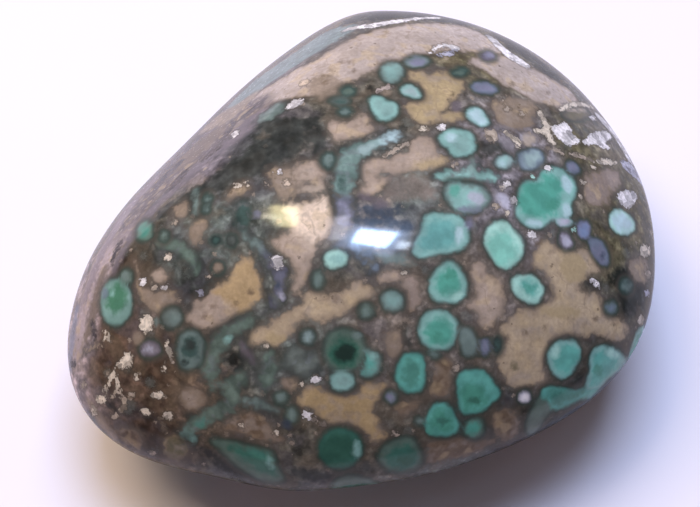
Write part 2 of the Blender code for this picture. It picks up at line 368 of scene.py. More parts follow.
# Tan, pink and ochre patches
PATCHES = (
    Stroke("hinge slope", "hinge pink", (
        (262, 94, 10), (276, 89, 18), (292, 83, 28), (312, 77, 38), (332, 67, 46), (360, 53, 46),
        (400, 41, 34), (440, 35, 29), (470, 38, 26), (486, 44, 14))),
    Stroke("upper right slope", "hinge pink", (
        (476, 62, 8), (494, 66, 20), (512, 73, 27), (530, 82, 30), (548, 89, 28), (566, 94, 18))),
    Outline("upper brown", "dull tan", (
        (494, 102), (510, 98), (525, 100), (536, 106), (533, 116), (530, 127), (515, 128), (502, 124),
        (496, 115))),
    Outline("upper ochre", "ochre", (
        (408, 72), (420, 70), (428, 76), (435, 72), (448, 72), (455, 78), (462, 80), (464, 90),
        (458, 98), (450, 101), (448, 108), (440, 113), (455, 112), (466, 114), (464, 119), (450, 122),
        (436, 122), (424, 124), (414, 120), (408, 112), (406, 105), (414, 101), (424, 100), (425, 92),
        (420, 84), (410, 80))),
    Outline("left of centre top", "pink tan", (
        (330, 122), (340, 122), (352, 122), (358, 114), (366, 116), (371, 124), (373, 130), (366, 136),
        (355, 139), (342, 140), (334, 141), (331, 134), (328, 128))),
    Outline("long tan", "pink tan", (
        (362, 165), (372, 159), (388, 158), (398, 154), (408, 152), (410, 144), (418, 138), (430, 138),
        (437, 146), (440, 156), (447, 159), (440, 166), (425, 171), (410, 171), (395, 173), (380, 172),
        (374, 178), (366, 180), (362, 172))),
    Outline("pink below long tan", "pink tan", (
        (362, 188), (366, 182), (374, 178), (384, 176), (386, 182), (382, 188), (376, 194), (370, 196),
        (364, 194), (360, 192))),
    Outline("right mottle", "dusty pink", (
        (585, 178), (592, 172), (600, 170), (612, 170), (620, 176), (618, 186), (610, 195), (608, 204),
        (592, 206), (586, 200), (584, 190))),
    Outline("right tan", "dull tan", (
        (630, 264), (640, 258), (650, 264), (650, 278), (640, 282), (632, 276))),
    Outline("broad right", "tan", (
        (532, 266), (534, 252), (545, 240), (556, 247), (575, 250), (590, 251), (597, 262), (600, 270),
        (592, 276), (583, 277), (582, 292), (597, 293), (602, 302), (606, 312), (618, 318), (628, 328),
        (626, 338), (612, 340), (598, 334), (584, 336), (570, 334), (556, 336), (549, 342), (545, 352),
        (543, 366), (547, 378), (540, 384), (526, 386), (512, 385), (503, 376), (499, 366), (500, 350),
        (507, 338), (500, 334), (506, 322), (516, 314), (521, 309), (535, 308), (548, 302), (553, 292),
        (549, 280), (541, 270))),
    Outline("middle right", "pink tan", (
        (474, 262), (482, 262), (486, 272), (496, 275), (502, 282), (504, 295), (503, 308), (500, 316),
        (496, 322), (490, 328), (484, 330), (480, 322), (477, 313), (470, 308), (465, 306), (470, 300),
        (478, 296), (475, 285), (471, 272))),
    Outline("stem", "dull tan", (
        (387, 334), (398, 330), (401, 340), (400, 352), (394, 358), (388, 350))),
    Outline("between ovals", "brown", (
        (436, 360), (450, 360), (452, 370), (450, 385), (448, 395), (436, 397), (430, 390),
        (436, 376))),
    Outline("strip over egg", "pink tan", (
        (376, 279), (380, 272), (388, 269), (396, 271), (402, 274), (406, 278), (400, 281), (390, 282),
        (382, 283))),
    Outline("right of egg", "dusty pink", (
        (402, 284), (412, 275), (418, 285), (420, 300), (414, 308), (408, 308), (407, 292))),
    Outline("bottom brown", "brown", (
        (430, 443), (445, 440), (462, 438), (478, 442), (492, 440), (484, 448), (466, 455), (445, 460),
        (430, 462), (428, 452))),
    Outline("round brown", "brown", (
        (497, 412), (507, 408), (516, 414), (518, 428), (512, 438), (500, 438), (494, 428),
        (493, 418))),
    Outline("small brown", "brown", (
        (395, 405), (410, 402), (420, 402), (412, 410), (402, 416), (396, 412))),
    Outline("lower ochre", "dark ochre", (
        (305, 388), (318, 386), (330, 393), (345, 395), (358, 393), (366, 383), (376, 384), (388, 383),
        (382, 395), (375, 402), (374, 412), (380, 420), (382, 430), (388, 434), (378, 442), (370, 440),
        (366, 432), (358, 426), (345, 422), (335, 425), (325, 420), (316, 414), (310, 408), (300, 407),
        (299, 398))),
    Outline("big ochre bank", "pink tan", (
        (246, 258), (252, 262), (256, 270), (259, 280), (258, 290), (260, 298), (254, 304), (248, 308),
        (240, 312), (233, 316), (228, 322), (220, 326), (208, 329), (198, 328), (190, 324), (186, 318),
        (190, 310), (194, 303), (200, 302), (208, 296), (214, 288), (222, 284), (230, 280), (232, 274),
        (236, 268), (240, 262))),
    Outline("long finger", "tan", (
        (246, 344), (250, 338), (252, 331), (258, 327), (268, 326), (274, 318), (282, 314), (292, 310),
        (302, 303), (306, 292), (322, 293), (335, 296), (342, 292), (350, 286), (358, 281), (366, 283),
        (376, 290), (374, 296), (360, 302), (354, 308), (344, 314), (330, 318), (318, 324), (306, 318),
        (298, 322), (290, 334), (284, 341), (278, 346), (268, 345), (258, 345), (250, 347))),
    Outline("centre finger", "pink tan", (
        (270, 243), (278, 238), (286, 234), (292, 228), (302, 234), (314, 246), (314, 252), (311, 262),
        (307, 275), (302, 289), (292, 295), (294, 280), (292, 266), (288, 257), (276, 251))),
    Outline("centre cream", "pale tan", (
        (290, 226), (284, 216), (284, 206), (296, 203), (308, 202), (317, 199), (325, 194), (329, 202),
        (334, 212), (333, 224), (328, 234), (322, 243), (312, 248), (300, 240), (292, 234))),
    Outline("centre pink", "pink tan", (
        (296, 166), (304, 162), (312, 161), (320, 164), (326, 170), (327, 176), (318, 180), (308, 181),
        (300, 182), (290, 178))),
    Outline("centre pink band", "dull cream", (
        (300, 186), (312, 184), (322, 184), (325, 188), (318, 192), (308, 194), (300, 191))),
    Outline("speckled brown", "dull tan", (
        (270, 172), (280, 168), (290, 170), (292, 180), (298, 188), (292, 196), (282, 200), (276, 190),
        (270, 182))),
    Outline("left mottle", "dull tan", (
        (134, 262), (138, 270), (136, 285), (140, 296), (146, 304), (152, 312), (160, 313), (166, 308),
        (176, 303), (178, 296), (172, 292), (165, 288), (158, 292), (152, 296), (148, 290), (142, 286),
        (138, 275))),
    Oval("left mottle spot", "pink tan", 160, 276, 16, 12),
    Outline("upper left bit", "dull tan", (
        (226, 200), (230, 194), (238, 185), (246, 182), (249, 186), (246, 190), (249, 193), (244, 195),
        (236, 196), (230, 200))),
    Outline("upper left bit low", "dull tan", (
        (192, 224), (203, 219), (206, 224), (203, 232), (200, 240), (196, 247), (190, 243),
        (188, 232))),
    Outline("upper left bit small", "dull tan", (
        (172, 210), (178, 206), (184, 202), (188, 205), (187, 212), (182, 218), (176, 216))),
    Outline("small low", "dull tan", (
        (282, 380), (290, 377), (297, 377), (297, 384), (292, 390), (284, 388))),
    Outline("lower tan spot", "dull tan", (
        (184, 391), (194, 388), (203, 393), (205, 403), (198, 411), (188, 410), (182, 401))),
    Outline("bottom earth", "brown", (
        (222, 424), (230, 416), (240, 412), (252, 411), (262, 417), (268, 424), (276, 432), (284, 440),
        (275, 440), (262, 440), (250, 436), (238, 432), (228, 431))),
    Outline("bottom olive", "olive", (
        (165, 438), (174, 435), (185, 442), (186, 454), (178, 461), (168, 456), (164, 447))),
    Outline("smooth earth", "earth", (
        (110, 436), (120, 430), (132, 430), (140, 438), (140, 450), (132, 457), (120, 454))),
    Stroke("flank low", "flank low", (
        (74, 362, 8), (77, 345, 12), (86, 310, 17), (98, 275, 21), (116, 238, 23))),
    Stroke("flank", "flank lilac", (
        (116, 238, 23), (140, 205, 25), (168, 178, 27), (196, 155, 32), (222, 132, 34), (244, 112, 28),
        (262, 100, 14))),
)

# Teal and grey veins between the nodules; the stroke below the window's highlight is painted
# reflection
VEINS = (
    Outline("pale start", "pale blue", (
        (381, 138), (390, 134), (399, 132), (402, 136), (394, 142), (384, 145), (378, 142))),
    Outline("bent vein", "dull vein", (
        (384, 142), (376, 150), (366, 154), (359, 160), (357, 170), (354, 180), (352, 190), (348, 196),
        (339, 196), (333, 188), (334, 178), (333, 168), (337, 158), (344, 149), (354, 144), (366, 141),
        (376, 138))),
    Outline("bent vein foot", "lavender", (
        (336, 198), (344, 196), (352, 200), (353, 210), (351, 220), (343, 222), (336, 214))),
    Outline("middle vein", "dull teal", (
        (242, 318), (252, 316), (253, 324), (244, 330), (235, 336), (230, 345), (222, 351), (218, 360),
        (218, 372), (212, 380), (204, 376), (198, 366), (202, 356), (203, 346), (212, 338), (220, 330),
        (230, 324))),
    Outline("short vein", "dull teal", (
        (264, 352), (272, 352), (276, 362), (275, 374), (272, 384), (266, 392), (260, 388), (260, 374),
        (261, 362))),
    Outline("hook vein", "dull teal", (
        (236, 374), (246, 372), (248, 380), (242, 388), (240, 398), (237, 408), (228, 415), (218, 420),
        (206, 426), (198, 432), (190, 438), (183, 434), (184, 426), (192, 418), (204, 411), (216, 405),
        (224, 398), (226, 388), (230, 380))),
    Stroke("hook branch", "dull teal", ((212, 386, 7), (226, 384, 8), (240, 376, 8))),
    Stroke("hook vein tip", "pale teal", ((189, 433, 6), (194, 441, 6))),
    Stroke("hinge spot", "grey teal", ((266, 116, 8), (278, 108, 9))),
    Outline("dark teal left", "dark teal", (
        (238, 204), (246, 202), (250, 210), (250, 222), (244, 229), (237, 226), (236, 214))),
    Stroke("left thread", "dull teal", (
        (160, 243, 6), (172, 244, 8), (182, 250, 10), (192, 258, 10), (196, 268, 8))),
    Stroke("pale thread", "grey teal", ((245, 237, 6), (254, 243, 8), (263, 250, 7))),
    Outline("lavender vein", "ink", (
        (262, 248), (270, 252), (276, 260), (284, 268), (284, 280), (282, 292), (278, 304), (272, 306),
        (271, 298), (275, 286), (275, 274), (268, 264), (262, 256))),
    Outline("cloud band", "pale teal", (
        (437, 173), (450, 171), (468, 171), (486, 172), (498, 176), (494, 182), (480, 181), (462, 180),
        (446, 181), (437, 179))),
    Stroke("cloud stem", "grey teal", ((472, 172, 8), (472, 162, 7), (472, 155, 5))),
    Stroke("grey vein", "grey teal", ((246, 402, 7), (262, 404, 9), (276, 410, 7))),
    # Painted reflection: the window's grey-blue glow just below its highlight
    Stroke("under glare line", "grey blue", (
        (350, 245, 6), (360, 252, 7), (370, 262, 7), (374, 268, 6))),
    Stroke("left streak", "grey teal", ((195, 190, 4), (197, 201, 5), (197, 212, 4))),
    Outline("grey low", "grey green", (
        (286, 352), (298, 348), (312, 352), (320, 360), (314, 370), (300, 375), (288, 370))),
    Stroke("side lavender", "violet grey", ((243, 346, 8), (250, 356, 8), (254, 364, 7))),
)

# Dark bands; painted shade in two hollows, and a painted reflection of the window's glow above its
# highlight
SHADES = (
    Stroke("upper dark", "dark", (
        (262, 124, 14), (288, 132, 34), (284, 148, 28), (256, 160, 28), (228, 176, 24), (204, 192, 14),
        (164, 212, 10))),
    Stroke("upper right dark", "dark", ((310, 124, 20), (318, 140, 24), (318, 152, 14))),
    Stroke("upper black", "black green", ((286, 148, 10), (292, 142, 12))),
    Stroke("bend black", "black green", ((338, 160, 8), (344, 150, 10))),
    Stroke("bend heart", "dark teal", ((343, 180, 8), (343, 190, 8))),
    Stroke("middle black", "black", ((235, 358, 15), (236, 364, 15))),
    Stroke("lower black", "black", ((203, 448, 7), (218, 460, 13), (240, 474, 8), (258, 481, 4))),
    Stroke("right dark", "black green", ((616, 276, 16), (634, 286, 24), (628, 300, 20))),
    Stroke("under flame", "black green", ((592, 403, 7), (574, 412, 9), (556, 422, 9), (540, 434, 6))),
    Stroke("flame strip", "black green", ((526, 406, 7), (524, 424, 7), (524, 436, 6))),
    Stroke("flame gap", "dark", ((570, 384, 7), (584, 376, 7))),
    Stroke("bottom dark", "dark", ((300, 474, 14), (330, 476, 8), (366, 468, 14))),
    Stroke("bottom dark right", "dark earth", ((500, 446, 8), (524, 438, 8))),
    # Painted shade: a pit shown only as black
    Stroke("earth hollow", "black", ((108, 404, 7), (113, 406, 6))),
    Stroke("earth shadow", "dark earth", ((150, 426, 12), (152, 444, 14))),
    Stroke("cloud dark", "dark", ((486, 148, 20), (500, 146, 12))),
    Stroke("hinge dark", "dark", (
        (352, 20, 6), (372, 15, 8), (400, 14, 8), (430, 15, 8), (458, 19, 6))),
    Stroke("right edge dark", "dark", ((512, 44, 8), (534, 60, 9), (556, 78, 8))),
    Stroke("grey middle", "dark", ((408, 344, 12), (404, 330, 10))),
    # Painted reflection: the window's dark blue glow just above its highlight
    Stroke("under glare dark", "navy", ((362, 208, 12), (380, 212, 14), (398, 210, 10))),
    # Painted shade: a chipped hollow shown only as dark
    Stroke("chip hollow", "dark", ((586, 280, 10), (596, 286, 12))),
)

# Soft spots of another colour over the markings, each an oval
SPOTS = (
    ("egg heart", "bottle green", 450, 275, 12, 11),
    ("egg light", "pale mint", 458, 296, 12, 6, -30),
    ("round heart", "bottle green", 437, 337, 12, 8),
    ("hazy end", "pale blue", 460, 236, 9, 18),
    ("hazy lavender", "lavender", 470, 224, 9, 12, -30),
    ("oval streak", "sea green", 529, 287, 10, 5, 10),
    ("pentagon heart", "deep green", 474, 401, 14, 8, 10),
    ("heart heart", "dark jade", 442, 421, 12, 9),
    ("heart light", "sea green", 430, 431, 6, 5),
    ("lower dark heart", "deep green", 405, 461, 15, 9),
    ("bottle light", "pale teal", 357, 450, 6, 20),
    ("black green heart", "black green", 345, 353, 20, 20),
    ("black green light", "grey teal", 357, 336, 10, 6, 35),
    ("twin light", "pale teal", 373, 356, 7, 9),
    ("big green white", "pale blue", 567, 210, 9, 13),
    ("big green shade", "bottle green", 552, 205, 14, 12),
    ("big green shoulder", "pale blue", 567, 184, 10, 18, -20),
    ("big green foot", "pale blue", 534, 223, 16, 7, 5),
    ("round right light", "pale mint", 556, 352, 9, 12, 20),
    ("flame heart", "bottle green", 598, 371, 8, 15, -15),
    ("flame light", "pale mint", 612, 353, 13, 8, 20),
    ("right lavender dot", "navy", 602, 256, 6, 7),
    ("cloudy green", "sea green", 455, 191, 12, 14),
    ("cloudy lavender", "pale lavender", 476, 198, 18, 12, 20),
    ("cloudy edge", "lavender", 470, 209, 24, 6),
    ("cloud light", "pale blue", 502, 163, 7, 6),
    ("upper wide light", "pale blue", 451, 138, 12, 9),
    ("vivid streak", "pale teal", 113, 293, 4, 8, 10),
    ("vivid left", "grey blue", 105, 293, 6, 10),
    ("eye dark", "dark", 190, 345, 11, 11),
    ("eye dark low", "black green", 185, 362, 7, 6),
    ("vein pale", "pale teal", 228, 339, 9, 6, -40),
    ("vein mint", "misty pale", 366, 149, 22, 8, -20),
    ("vein dark", "dark teal", 343, 184, 10, 13),
    # Painted reflection: lavender haze left of the window's highlight
    ("vein haze", "lavender", 347, 224, 12, 9),
    ("hook teal", "jade", 201, 424, 14, 9, -30),
    ("leaf heart", "jade", 256, 454, 22, 8, 20),
    ("leaf edge", "pale teal", 270, 462, 6, 14, -20),
    ("bean navy", "navy", 287, 424, 10, 9),
    ("dark by teal", "black green", 255, 222, 8, 8),
    ("lavender by teal", "lavender", 257, 214, 6, 6),
    ("lavender head", "pale lavender", 277, 262, 10, 12, -30),
    ("lavender knot", "navy", 278, 285, 6, 7),
    ("lavender low", "pale lavender", 281, 296, 6, 6),
    ("violet blob", "violet grey", 457, 106, 14, 10, -20),
    ("ochre black one", "black", 453, 94, 4, 4),
    ("ochre black two", "black", 465, 94, 4, 4),
    ("ochre brown", "brown", 538, 243, 10, 5, -30),
    ("broad dot one", "brown", 525, 332, 7, 5),
    ("broad dot two", "brown", 545, 327, 5, 5),
    ("broad dot three", "brown", 570, 320, 5, 5),
    ("broad dot four", "brown", 613, 323, 5, 4),
    ("broad dot five", "brown", 595, 318, 5, 5),
    ("broad olive", "olive", 514, 366, 9, 8),
    ("broad ochre", "ochre", 574, 268, 26, 30),
    ("broad ochre low", "ochre", 560, 312, 40, 12),
    ("big ochre dark", "brown", 251, 292, 6, 6),
    ("big ochre dark two", "brown", 236, 303, 5, 5),
    ("big ochre dark three", "brown", 214, 306, 6, 5),
    ("big ochre dark four", "brown", 205, 317, 6, 5),
    # Painted shade: a pit shown only as dark
    ("foot hole", "dark", 190, 308, 6, 9),
    ("finger ochre", "ochre", 276, 339, 20, 9),
    # Painted shade: a pit shown only as brown
    ("finger hole", "brown", 336, 300, 7, 5),
    ("hinge speck one", "brown", 350, 62, 5, 4),
    ("hinge speck two", "brown", 341, 62, 4, 4),
    ("hinge speck three", "brown", 355, 70, 4, 4),
    ("hinge speck four", "brown", 325, 82, 8, 4, -10),
    ("hinge speck five", "brown", 323, 76, 8, 3, -10),
    ("hinge speck six", "brown", 415, 75, 4, 4),
    ("slope speck one", "dark earth", 512, 84, 5, 4),
    ("slope speck two", "brown", 547, 93, 5, 4),
    ("slope speck three", "brown", 562, 82, 4, 4),
    # Painted shade: a pit shown only as black
    ("upper hole", "black", 370, 88, 10, 6),
    ("scrap bead", "dull cream", 528, 140, 14, 12),
    ("lower pink", "dull tan", 385, 91, 12, 8),
    ("olive round edge", "dull cream", 576, 110, 20, 4),
    ("eye olive", "dull tan", 138, 338, 12, 13),
    ("oval shadow", "grey teal", 155, 322, 5, 12),
)

# Markings whose edges melt away, over the patches and under the veins
TINTS = (
    Outline("mottled brown", "grey brown", (
        (388, 184), (396, 177), (408, 175), (420, 176), (430, 180), (434, 190), (426, 198), (412, 200),
        (398, 200), (388, 194))),
    Stroke("mottled pink", "dusty pink", ((392, 178, 5), (396, 190, 6), (386, 196, 5))),
    Stroke("mottled pink right", "dusty pink", ((414, 182, 6), (426, 190, 7), (432, 198, 5))),
    Stroke("mottled dark", "dark", ((402, 182, 6), (408, 192, 7))),
    Stroke("cluster haze", "pale lavender", ((496, 196, 7), (508, 204, 11), (512, 212, 8))),
    Stroke("scrap haze", "violet haze", ((486, 136, 10), (500, 132, 12), (514, 150, 10))),
    Stroke("violet by glare", "violet grey", ((360, 196, 6), (372, 200, 8), (388, 204, 8))),
    # Painted reflection: the window's blue glow above and below its highlight
    Stroke("glare blue", "navy", ((354, 220, 7), (372, 221, 9), (394, 222, 9), (410, 227, 7))),
    Stroke("glare teal", "grey teal", ((378, 256, 6), (392, 259, 8), (410, 261, 6))),
    Outline("hinge slope brown", "dull tan", (
        (310, 80), (322, 74), (336, 76), (344, 84), (340, 94), (326, 98), (314, 96), (308, 88))),
    Outline("long tan end", "ochre", (
        (410, 166), (420, 161), (430, 158), (446, 157), (447, 161), (440, 166), (430, 170),
        (418, 170))),
    Outline("big ochre", "orange ochre", (
        (246, 258), (252, 262), (256, 270), (259, 280), (258, 290), (260, 298), (254, 304), (248, 308),
        (240, 312), (232, 306), (222, 298), (214, 292), (222, 284), (230, 280), (232, 274), (236, 268),
        (240, 262))),
    Stroke("hinge band", "flank sky", (
        (344, 31, 8), (320, 42, 13), (296, 58, 14), (270, 76, 13), (258, 84, 14), (246, 94, 8))),
    Stroke("flank light", "flank pale", (
        (84, 300, 5), (92, 278, 6), (106, 246, 6), (132, 204, 6), (150, 184, 5))),
    Stroke("flank dark", "violet grey", (
        (112, 276, 5), (120, 256, 6), (132, 236, 6), (150, 212, 7), (172, 190, 7), (196, 168, 8))),
    Stroke("flank dark high", "violet grey", (
        (216, 148, 8), (232, 138, 10), (250, 122, 10), (266, 112, 6))),
    Stroke("flank pink", "flank tan", ((88, 336, 8), (95, 302, 8), (104, 272, 7))),
    Stroke("flank ochre", "flank tan", ((184, 162, 8), (196, 150, 13), (208, 140, 9))),
    Stroke("flank grey", "dull tan", ((214, 122, 9), (232, 112, 10), (244, 102, 7))),
    Stroke("flank edge", "lavender", ((70, 372, 4), (72, 340, 5), (77, 310, 4))),
    Stroke("nose edge", "dull tan", ((90, 404, 5), (100, 420, 7), (112, 436, 6))),
    Stroke("right margin", "grey olive", (
        (640, 208, 5), (648, 240, 6), (652, 275, 6), (651, 305, 6), (643, 332, 5))),
)

# White and cream bits; two pale strokes along the right rim are painted reflection
FLECKS = (
    Outline("star", "white", (
        (552, 127), (559, 125), (566, 123), (571, 129), (574, 136), (581, 141), (576, 145), (568, 146),
        (562, 141), (556, 136))),
    Outline("white wing", "white", (
        (583, 142), (588, 137), (593, 133), (601, 131), (609, 133), (611, 139), (605, 143), (611, 148),
        (603, 149), (596, 144), (588, 145))),
    Stroke("cream scrap", "cream", ((540, 113, 4), (546, 124, 5), (548, 135, 5), (552, 142, 5))),
    Stroke("cream scrap arm", "cream", ((536, 131, 4), (545, 131, 4))),
    Stroke("thin cream", "cream", ((505, 132, 3), (513, 138, 5), (519, 142, 5), (518, 147, 4))),
    Outline("pale scrap", "dull cream", (
        (485, 131), (492, 129), (497, 134), (497, 140), (492, 143), (486, 139))),
    Oval("small pair", "white", 441, 127, 9, 6),
    Oval("small left of pair", "cream", 424, 129, 8, 5),
    Oval("under ochre", "dull cream", 454, 164, 8, 5, -20),
    Oval("hinge chip", "white", 295, 104, 19, 7, -25),
    Oval("flank chip", "white", 235, 134, 9, 5, -40),
    Stroke("flank chip up", "flank lilac", ((222, 140, 3), (228, 132, 4))),
    Oval("flank chip over", "flank lilac", 233, 122, 6, 5),
    Stroke("flank chip high", "flank lilac", ((247, 114, 3), (255, 108, 4))),
    Oval("hinge light", "pale tan", 304, 83, 10, 5, -30),
    Stroke("ring left", "white", ((430, 53, 3), (437, 47, 3), (446, 45, 3), (456, 48, 4))),
    Stroke("ring low", "pale lavender", ((456, 49, 4), (450, 54, 4), (438, 55, 3))),
    Stroke("top streak", "white", ((346, 30, 3), (372, 26, 4), (400, 21, 3), (440, 18, 2))),
    Stroke("white band", "white", ((490, 37, 4), (500, 47, 5), (511, 56, 6), (524, 64, 5))),
    Stroke("arc over olive", "cream", ((560, 110, 4), (568, 106, 5), (580, 104, 4), (592, 107, 3))),
    Oval("arc chip", "white", 593, 118, 6, 5),
    Stroke("right lines", "dull cream", ((546, 148, 3), (556, 150, 3), (563, 153, 3))),
    Stroke("right lines low", "dull cream", ((571, 154, 3), (582, 157, 4), (592, 160, 3))),
    Oval("right lens", "cream", 606, 162, 23, 5, 5),
    Outline("right white", "white", (
        (620, 192), (632, 191), (637, 196), (634, 204), (628, 208), (621, 204), (618, 198))),
    # Painted reflection: the pale line of light along the right rim
    Stroke("right edge white", "pale lavender", ((624, 165, 6), (632, 170, 8), (639, 178, 5))),
    Oval("right speckle", "cream", 645, 251, 11, 12),
    Oval("right bit", "dull cream", 648, 274, 6, 8),
    Oval("right bit low", "cream", 641, 320, 7, 10),
    Oval("right bit grey", "pale lavender", 647, 293, 5, 6),
    Oval("cluster top", "white", 507, 184, 7, 6, -30),
    Oval("cluster top left", "cream", 502, 188, 5, 5),
    Oval("cluster", "white", 514, 200, 6, 10, -25),
    Oval("cluster low", "cream", 507, 213, 6, 5),
    Oval("cluster left", "dull cream", 496, 206, 7, 6),
    Oval("green chip", "white", 548, 168, 7, 6),
    Oval("green chip left", "pale mint", 533, 177, 5, 5),
    Oval("under green chip", "white", 532, 235, 9, 7, 30),
    Oval("thread one", "cream", 583, 182, 6, 4, 20),
    Oval("thread two", "cream", 581, 197, 6, 4, 50),
    Oval("thread three", "pale mint", 574, 230, 5, 5),
    Oval("thread four", "cream", 593, 167, 6, 4, 35),
    Stroke("dark halo chip", "white", ((592, 280, 5), (598, 285, 6))),
    Oval("lone chip", "white", 316, 379, 11, 6),
    Oval("lone chip left", "cream", 302, 384, 5, 4),
    Oval("lone chip low", "white", 307, 415, 9, 8),
    Oval("low bit one", "dull cream", 315, 420, 5, 5),
    Oval("low bit two", "dull cream", 324, 424, 6, 5),
    Oval("low bit three", "cream", 242, 426, 5, 5),
    Oval("low bit four", "cream", 277, 433, 6, 5),
    Oval("low bit five", "dull cream", 395, 434, 7, 4),
    Oval("dull chip", "dull cream", 456, 368, 7, 6),
    Oval("glare chip", "cream", 404, 273, 8, 4),
    Oval("finger chip", "cream", 266, 346, 7, 4),
    Outline("cream oval", "cream", (
        (142, 317), (152, 316), (153, 328), (146, 333), (140, 330), (140, 322))),
    Outline("cream vein head", "cream", (
        (119, 368), (117, 364), (122, 358), (126, 353), (131, 353), (133, 357), (130, 361), (132, 366),
        (126, 367), (121, 370))),
    Stroke("cream vein", "cream", ((119, 366, 3), (113, 374, 4), (108, 383, 4), (104, 392, 3))),
    Stroke("cream vein right", "cream", ((116, 379, 3), (119, 385, 4), (117, 391, 3))),
    Stroke("cream vein low", "dull cream", ((117, 391, 3), (111, 398, 4))),
    Outline("cream vein end", "cream", ((95, 398), (101, 395), (106, 397), (105, 402), (98, 403))),
    Outline("cream bead", "cream", ((91, 409), (94, 406), (97, 409), (96, 414), (92, 415))),
    Stroke("cream hook", "dull cream", ((124, 397, 5), (124, 408, 5), (119, 414, 5), (113, 417, 5))),
    Oval("cream bit", "cream", 157, 395, 14, 7),
    Oval("cream bit left", "dull cream", 132, 394, 6, 5),
    Oval("cream bit low", "cream", 146, 412, 10, 7),
    Oval("cream bit right", "cream", 169, 415, 11, 7),
    Oval("cream bit high", "cream", 136, 377, 6, 5),
    Oval("dull bead", "dull cream", 83, 385, 7, 6),
    Oval("small line", "cream", 106, 333, 7, 4, 15),
    Oval("small line low", "cream", 108, 340, 9, 4, -10),
    Stroke("brown lines", "dull tan", ((85, 350, 3), (94, 347, 4), (103, 345, 3))),
    Oval("low dash", "dull cream", 152, 453, 8, 4),
    Stroke("low streak", "dull tan", ((160, 418, 4), (163, 426, 5), (166, 434, 4))),
    Stroke("left thread white", "cream", ((166, 343, 4), (168, 350, 5), (171, 356, 4))),
    Oval("left thread bead", "dull cream", 171, 361, 5, 5),
    Oval("left thread low", "cream", 164, 368, 6, 6),
    Outline("vein cap", "white", (
        (272, 257), (278, 256), (283, 261), (282, 268), (276, 268), (272, 263))),
    Oval("left chip one", "white", 143, 282, 6, 9, -15),
    Oval("left chip two", "dull cream", 154, 287, 6, 5),
    Oval("left chip three", "white", 166, 287, 7, 7),
    Oval("left chip four", "pale lavender", 200, 293, 7, 6),
    Oval("left chip five", "dull cream", 208, 277, 5, 5),
    Oval("left chip six", "cream", 168, 257, 7, 8),
    Oval("left chip seven", "dull cream", 175, 222, 5, 6),
    Oval("upper chip", "white", 278, 172, 8, 5),
    Oval("upper chip right", "pale tan", 287, 183, 6, 5),
    Oval("upper chip left", "dull cream", 267, 184, 5, 4),
    Oval("upper bit one", "cream", 237, 186, 6, 5),
    Oval("upper bit two", "cream", 246, 184, 5, 5),
    Stroke("pink chips", "hinge pink", ((377, 92, 4), (384, 88, 4), (391, 86, 4))),
    Oval("brown chip one", "dull cream", 502, 100, 5, 4),
    Oval("brown chip two", "dull cream", 507, 109, 5, 5),
    Oval("brown chip three", "dull cream", 522, 114, 5, 5),
    Stroke("ragged scrap", "dull cream", ((384, 156, 3), (392, 152, 4), (400, 147, 3), (408, 143, 3))),
    # Painted reflection: the pale line of light along the right rim
    Stroke("edge thread", "white", ((600, 118, 3), (616, 136, 3), (628, 156, 3))),
    Stroke("flank streak", "flank lilac", ((160, 182, 4), (168, 174, 5), (176, 166, 4))),
    Stroke("flank streak two", "flank lilac", ((171, 188, 3), (178, 180, 5), (184, 173, 4))),
    Stroke("flank streak three", "flank lilac", ((112, 262, 3), (117, 250, 4), (120, 243, 4))),
    Stroke("flank streak four", "flank lilac", ((92, 322, 3), (94, 332, 4), (95, 340, 3))),
    Stroke("flank streak five", "flank lilac", ((205, 158, 3), (212, 152, 4), (218, 148, 3))),
    Oval("nose bead", "flank lilac", 73, 364, 6, 7),
)

# Broad ground tone, at places of the photograph
GROUND = (
    ("upper left", 250, 140, "dark"), ("left", 170, 215, "grey olive"),
    ("left inside", 140, 245, "dark"), ("left low", 130, 262, "dark earth"),
    ("left earth", 112, 335, "earth"), ("earth", 100, 370, "earth"),
    ("earth low", 140, 440, "dark earth"), ("earth right", 190, 385, "brown"),
    ("earth middle", 160, 378, "earth"), ("middle", 220, 240, "grey green"),
    ("middle low", 290, 360, "grey green"), ("middle bottom", 300, 440, "grey olive"),
    ("bottom", 380, 440, "grey olive"), ("bottom edge", 260, 478, "dark"),
    ("bottom right", 500, 430, "dark"), ("centre", 400, 330, "grey brown"),
    ("centre top", 400, 200, "grey green"), ("glare", 360, 270, "grey olive"),
    ("right", 530, 330, "grey brown"), ("upper right", 540, 150, "violet haze"),
    ("far right", 615, 240, "olive"), ("right edge", 640, 225, "olive"),
    ("far right low", 640, 290, "dark"), ("top", 420, 100, "grey olive"),
    ("top right", 480, 62, "olive"), ("hinge", 340, 100, "grey olive"),
    ("flank foot", 84, 330, "flank low"),
    ("flank low", 98, 280, "flank low"), ("flank", 122, 228, "flank lilac"),
    ("flank bend", 152, 190, "flank lilac"), ("flank high", 190, 145, "flank lilac"),
    ("flank top", 226, 118, "flank lilac"), ("flank inside", 240, 130, "violet grey"),
    ("flank inside low", 200, 165, "violet grey"), ("nose", 74, 370, "flank low"),
    ("centre right", 470, 285, "grey brown"), ("cluster", 508, 205, "violet haze"),
    ("middle left", 203, 278, "dark"), ("thread", 182, 240, "grey green"),
    ("upper middle", 385, 205, "grey brown"), ("slope", 500, 140, "violet haze"),
    ("right lower", 600, 380, "dark"), ("right top", 570, 150, "olive"),
)

# Hidden sides: seed of the draws, how squarely a face looks at the camera at most, and how
# often a clear place is looked for
SEED = 20
HIDDEN_FACING = 0.0
HIDDEN_TRIES = 60

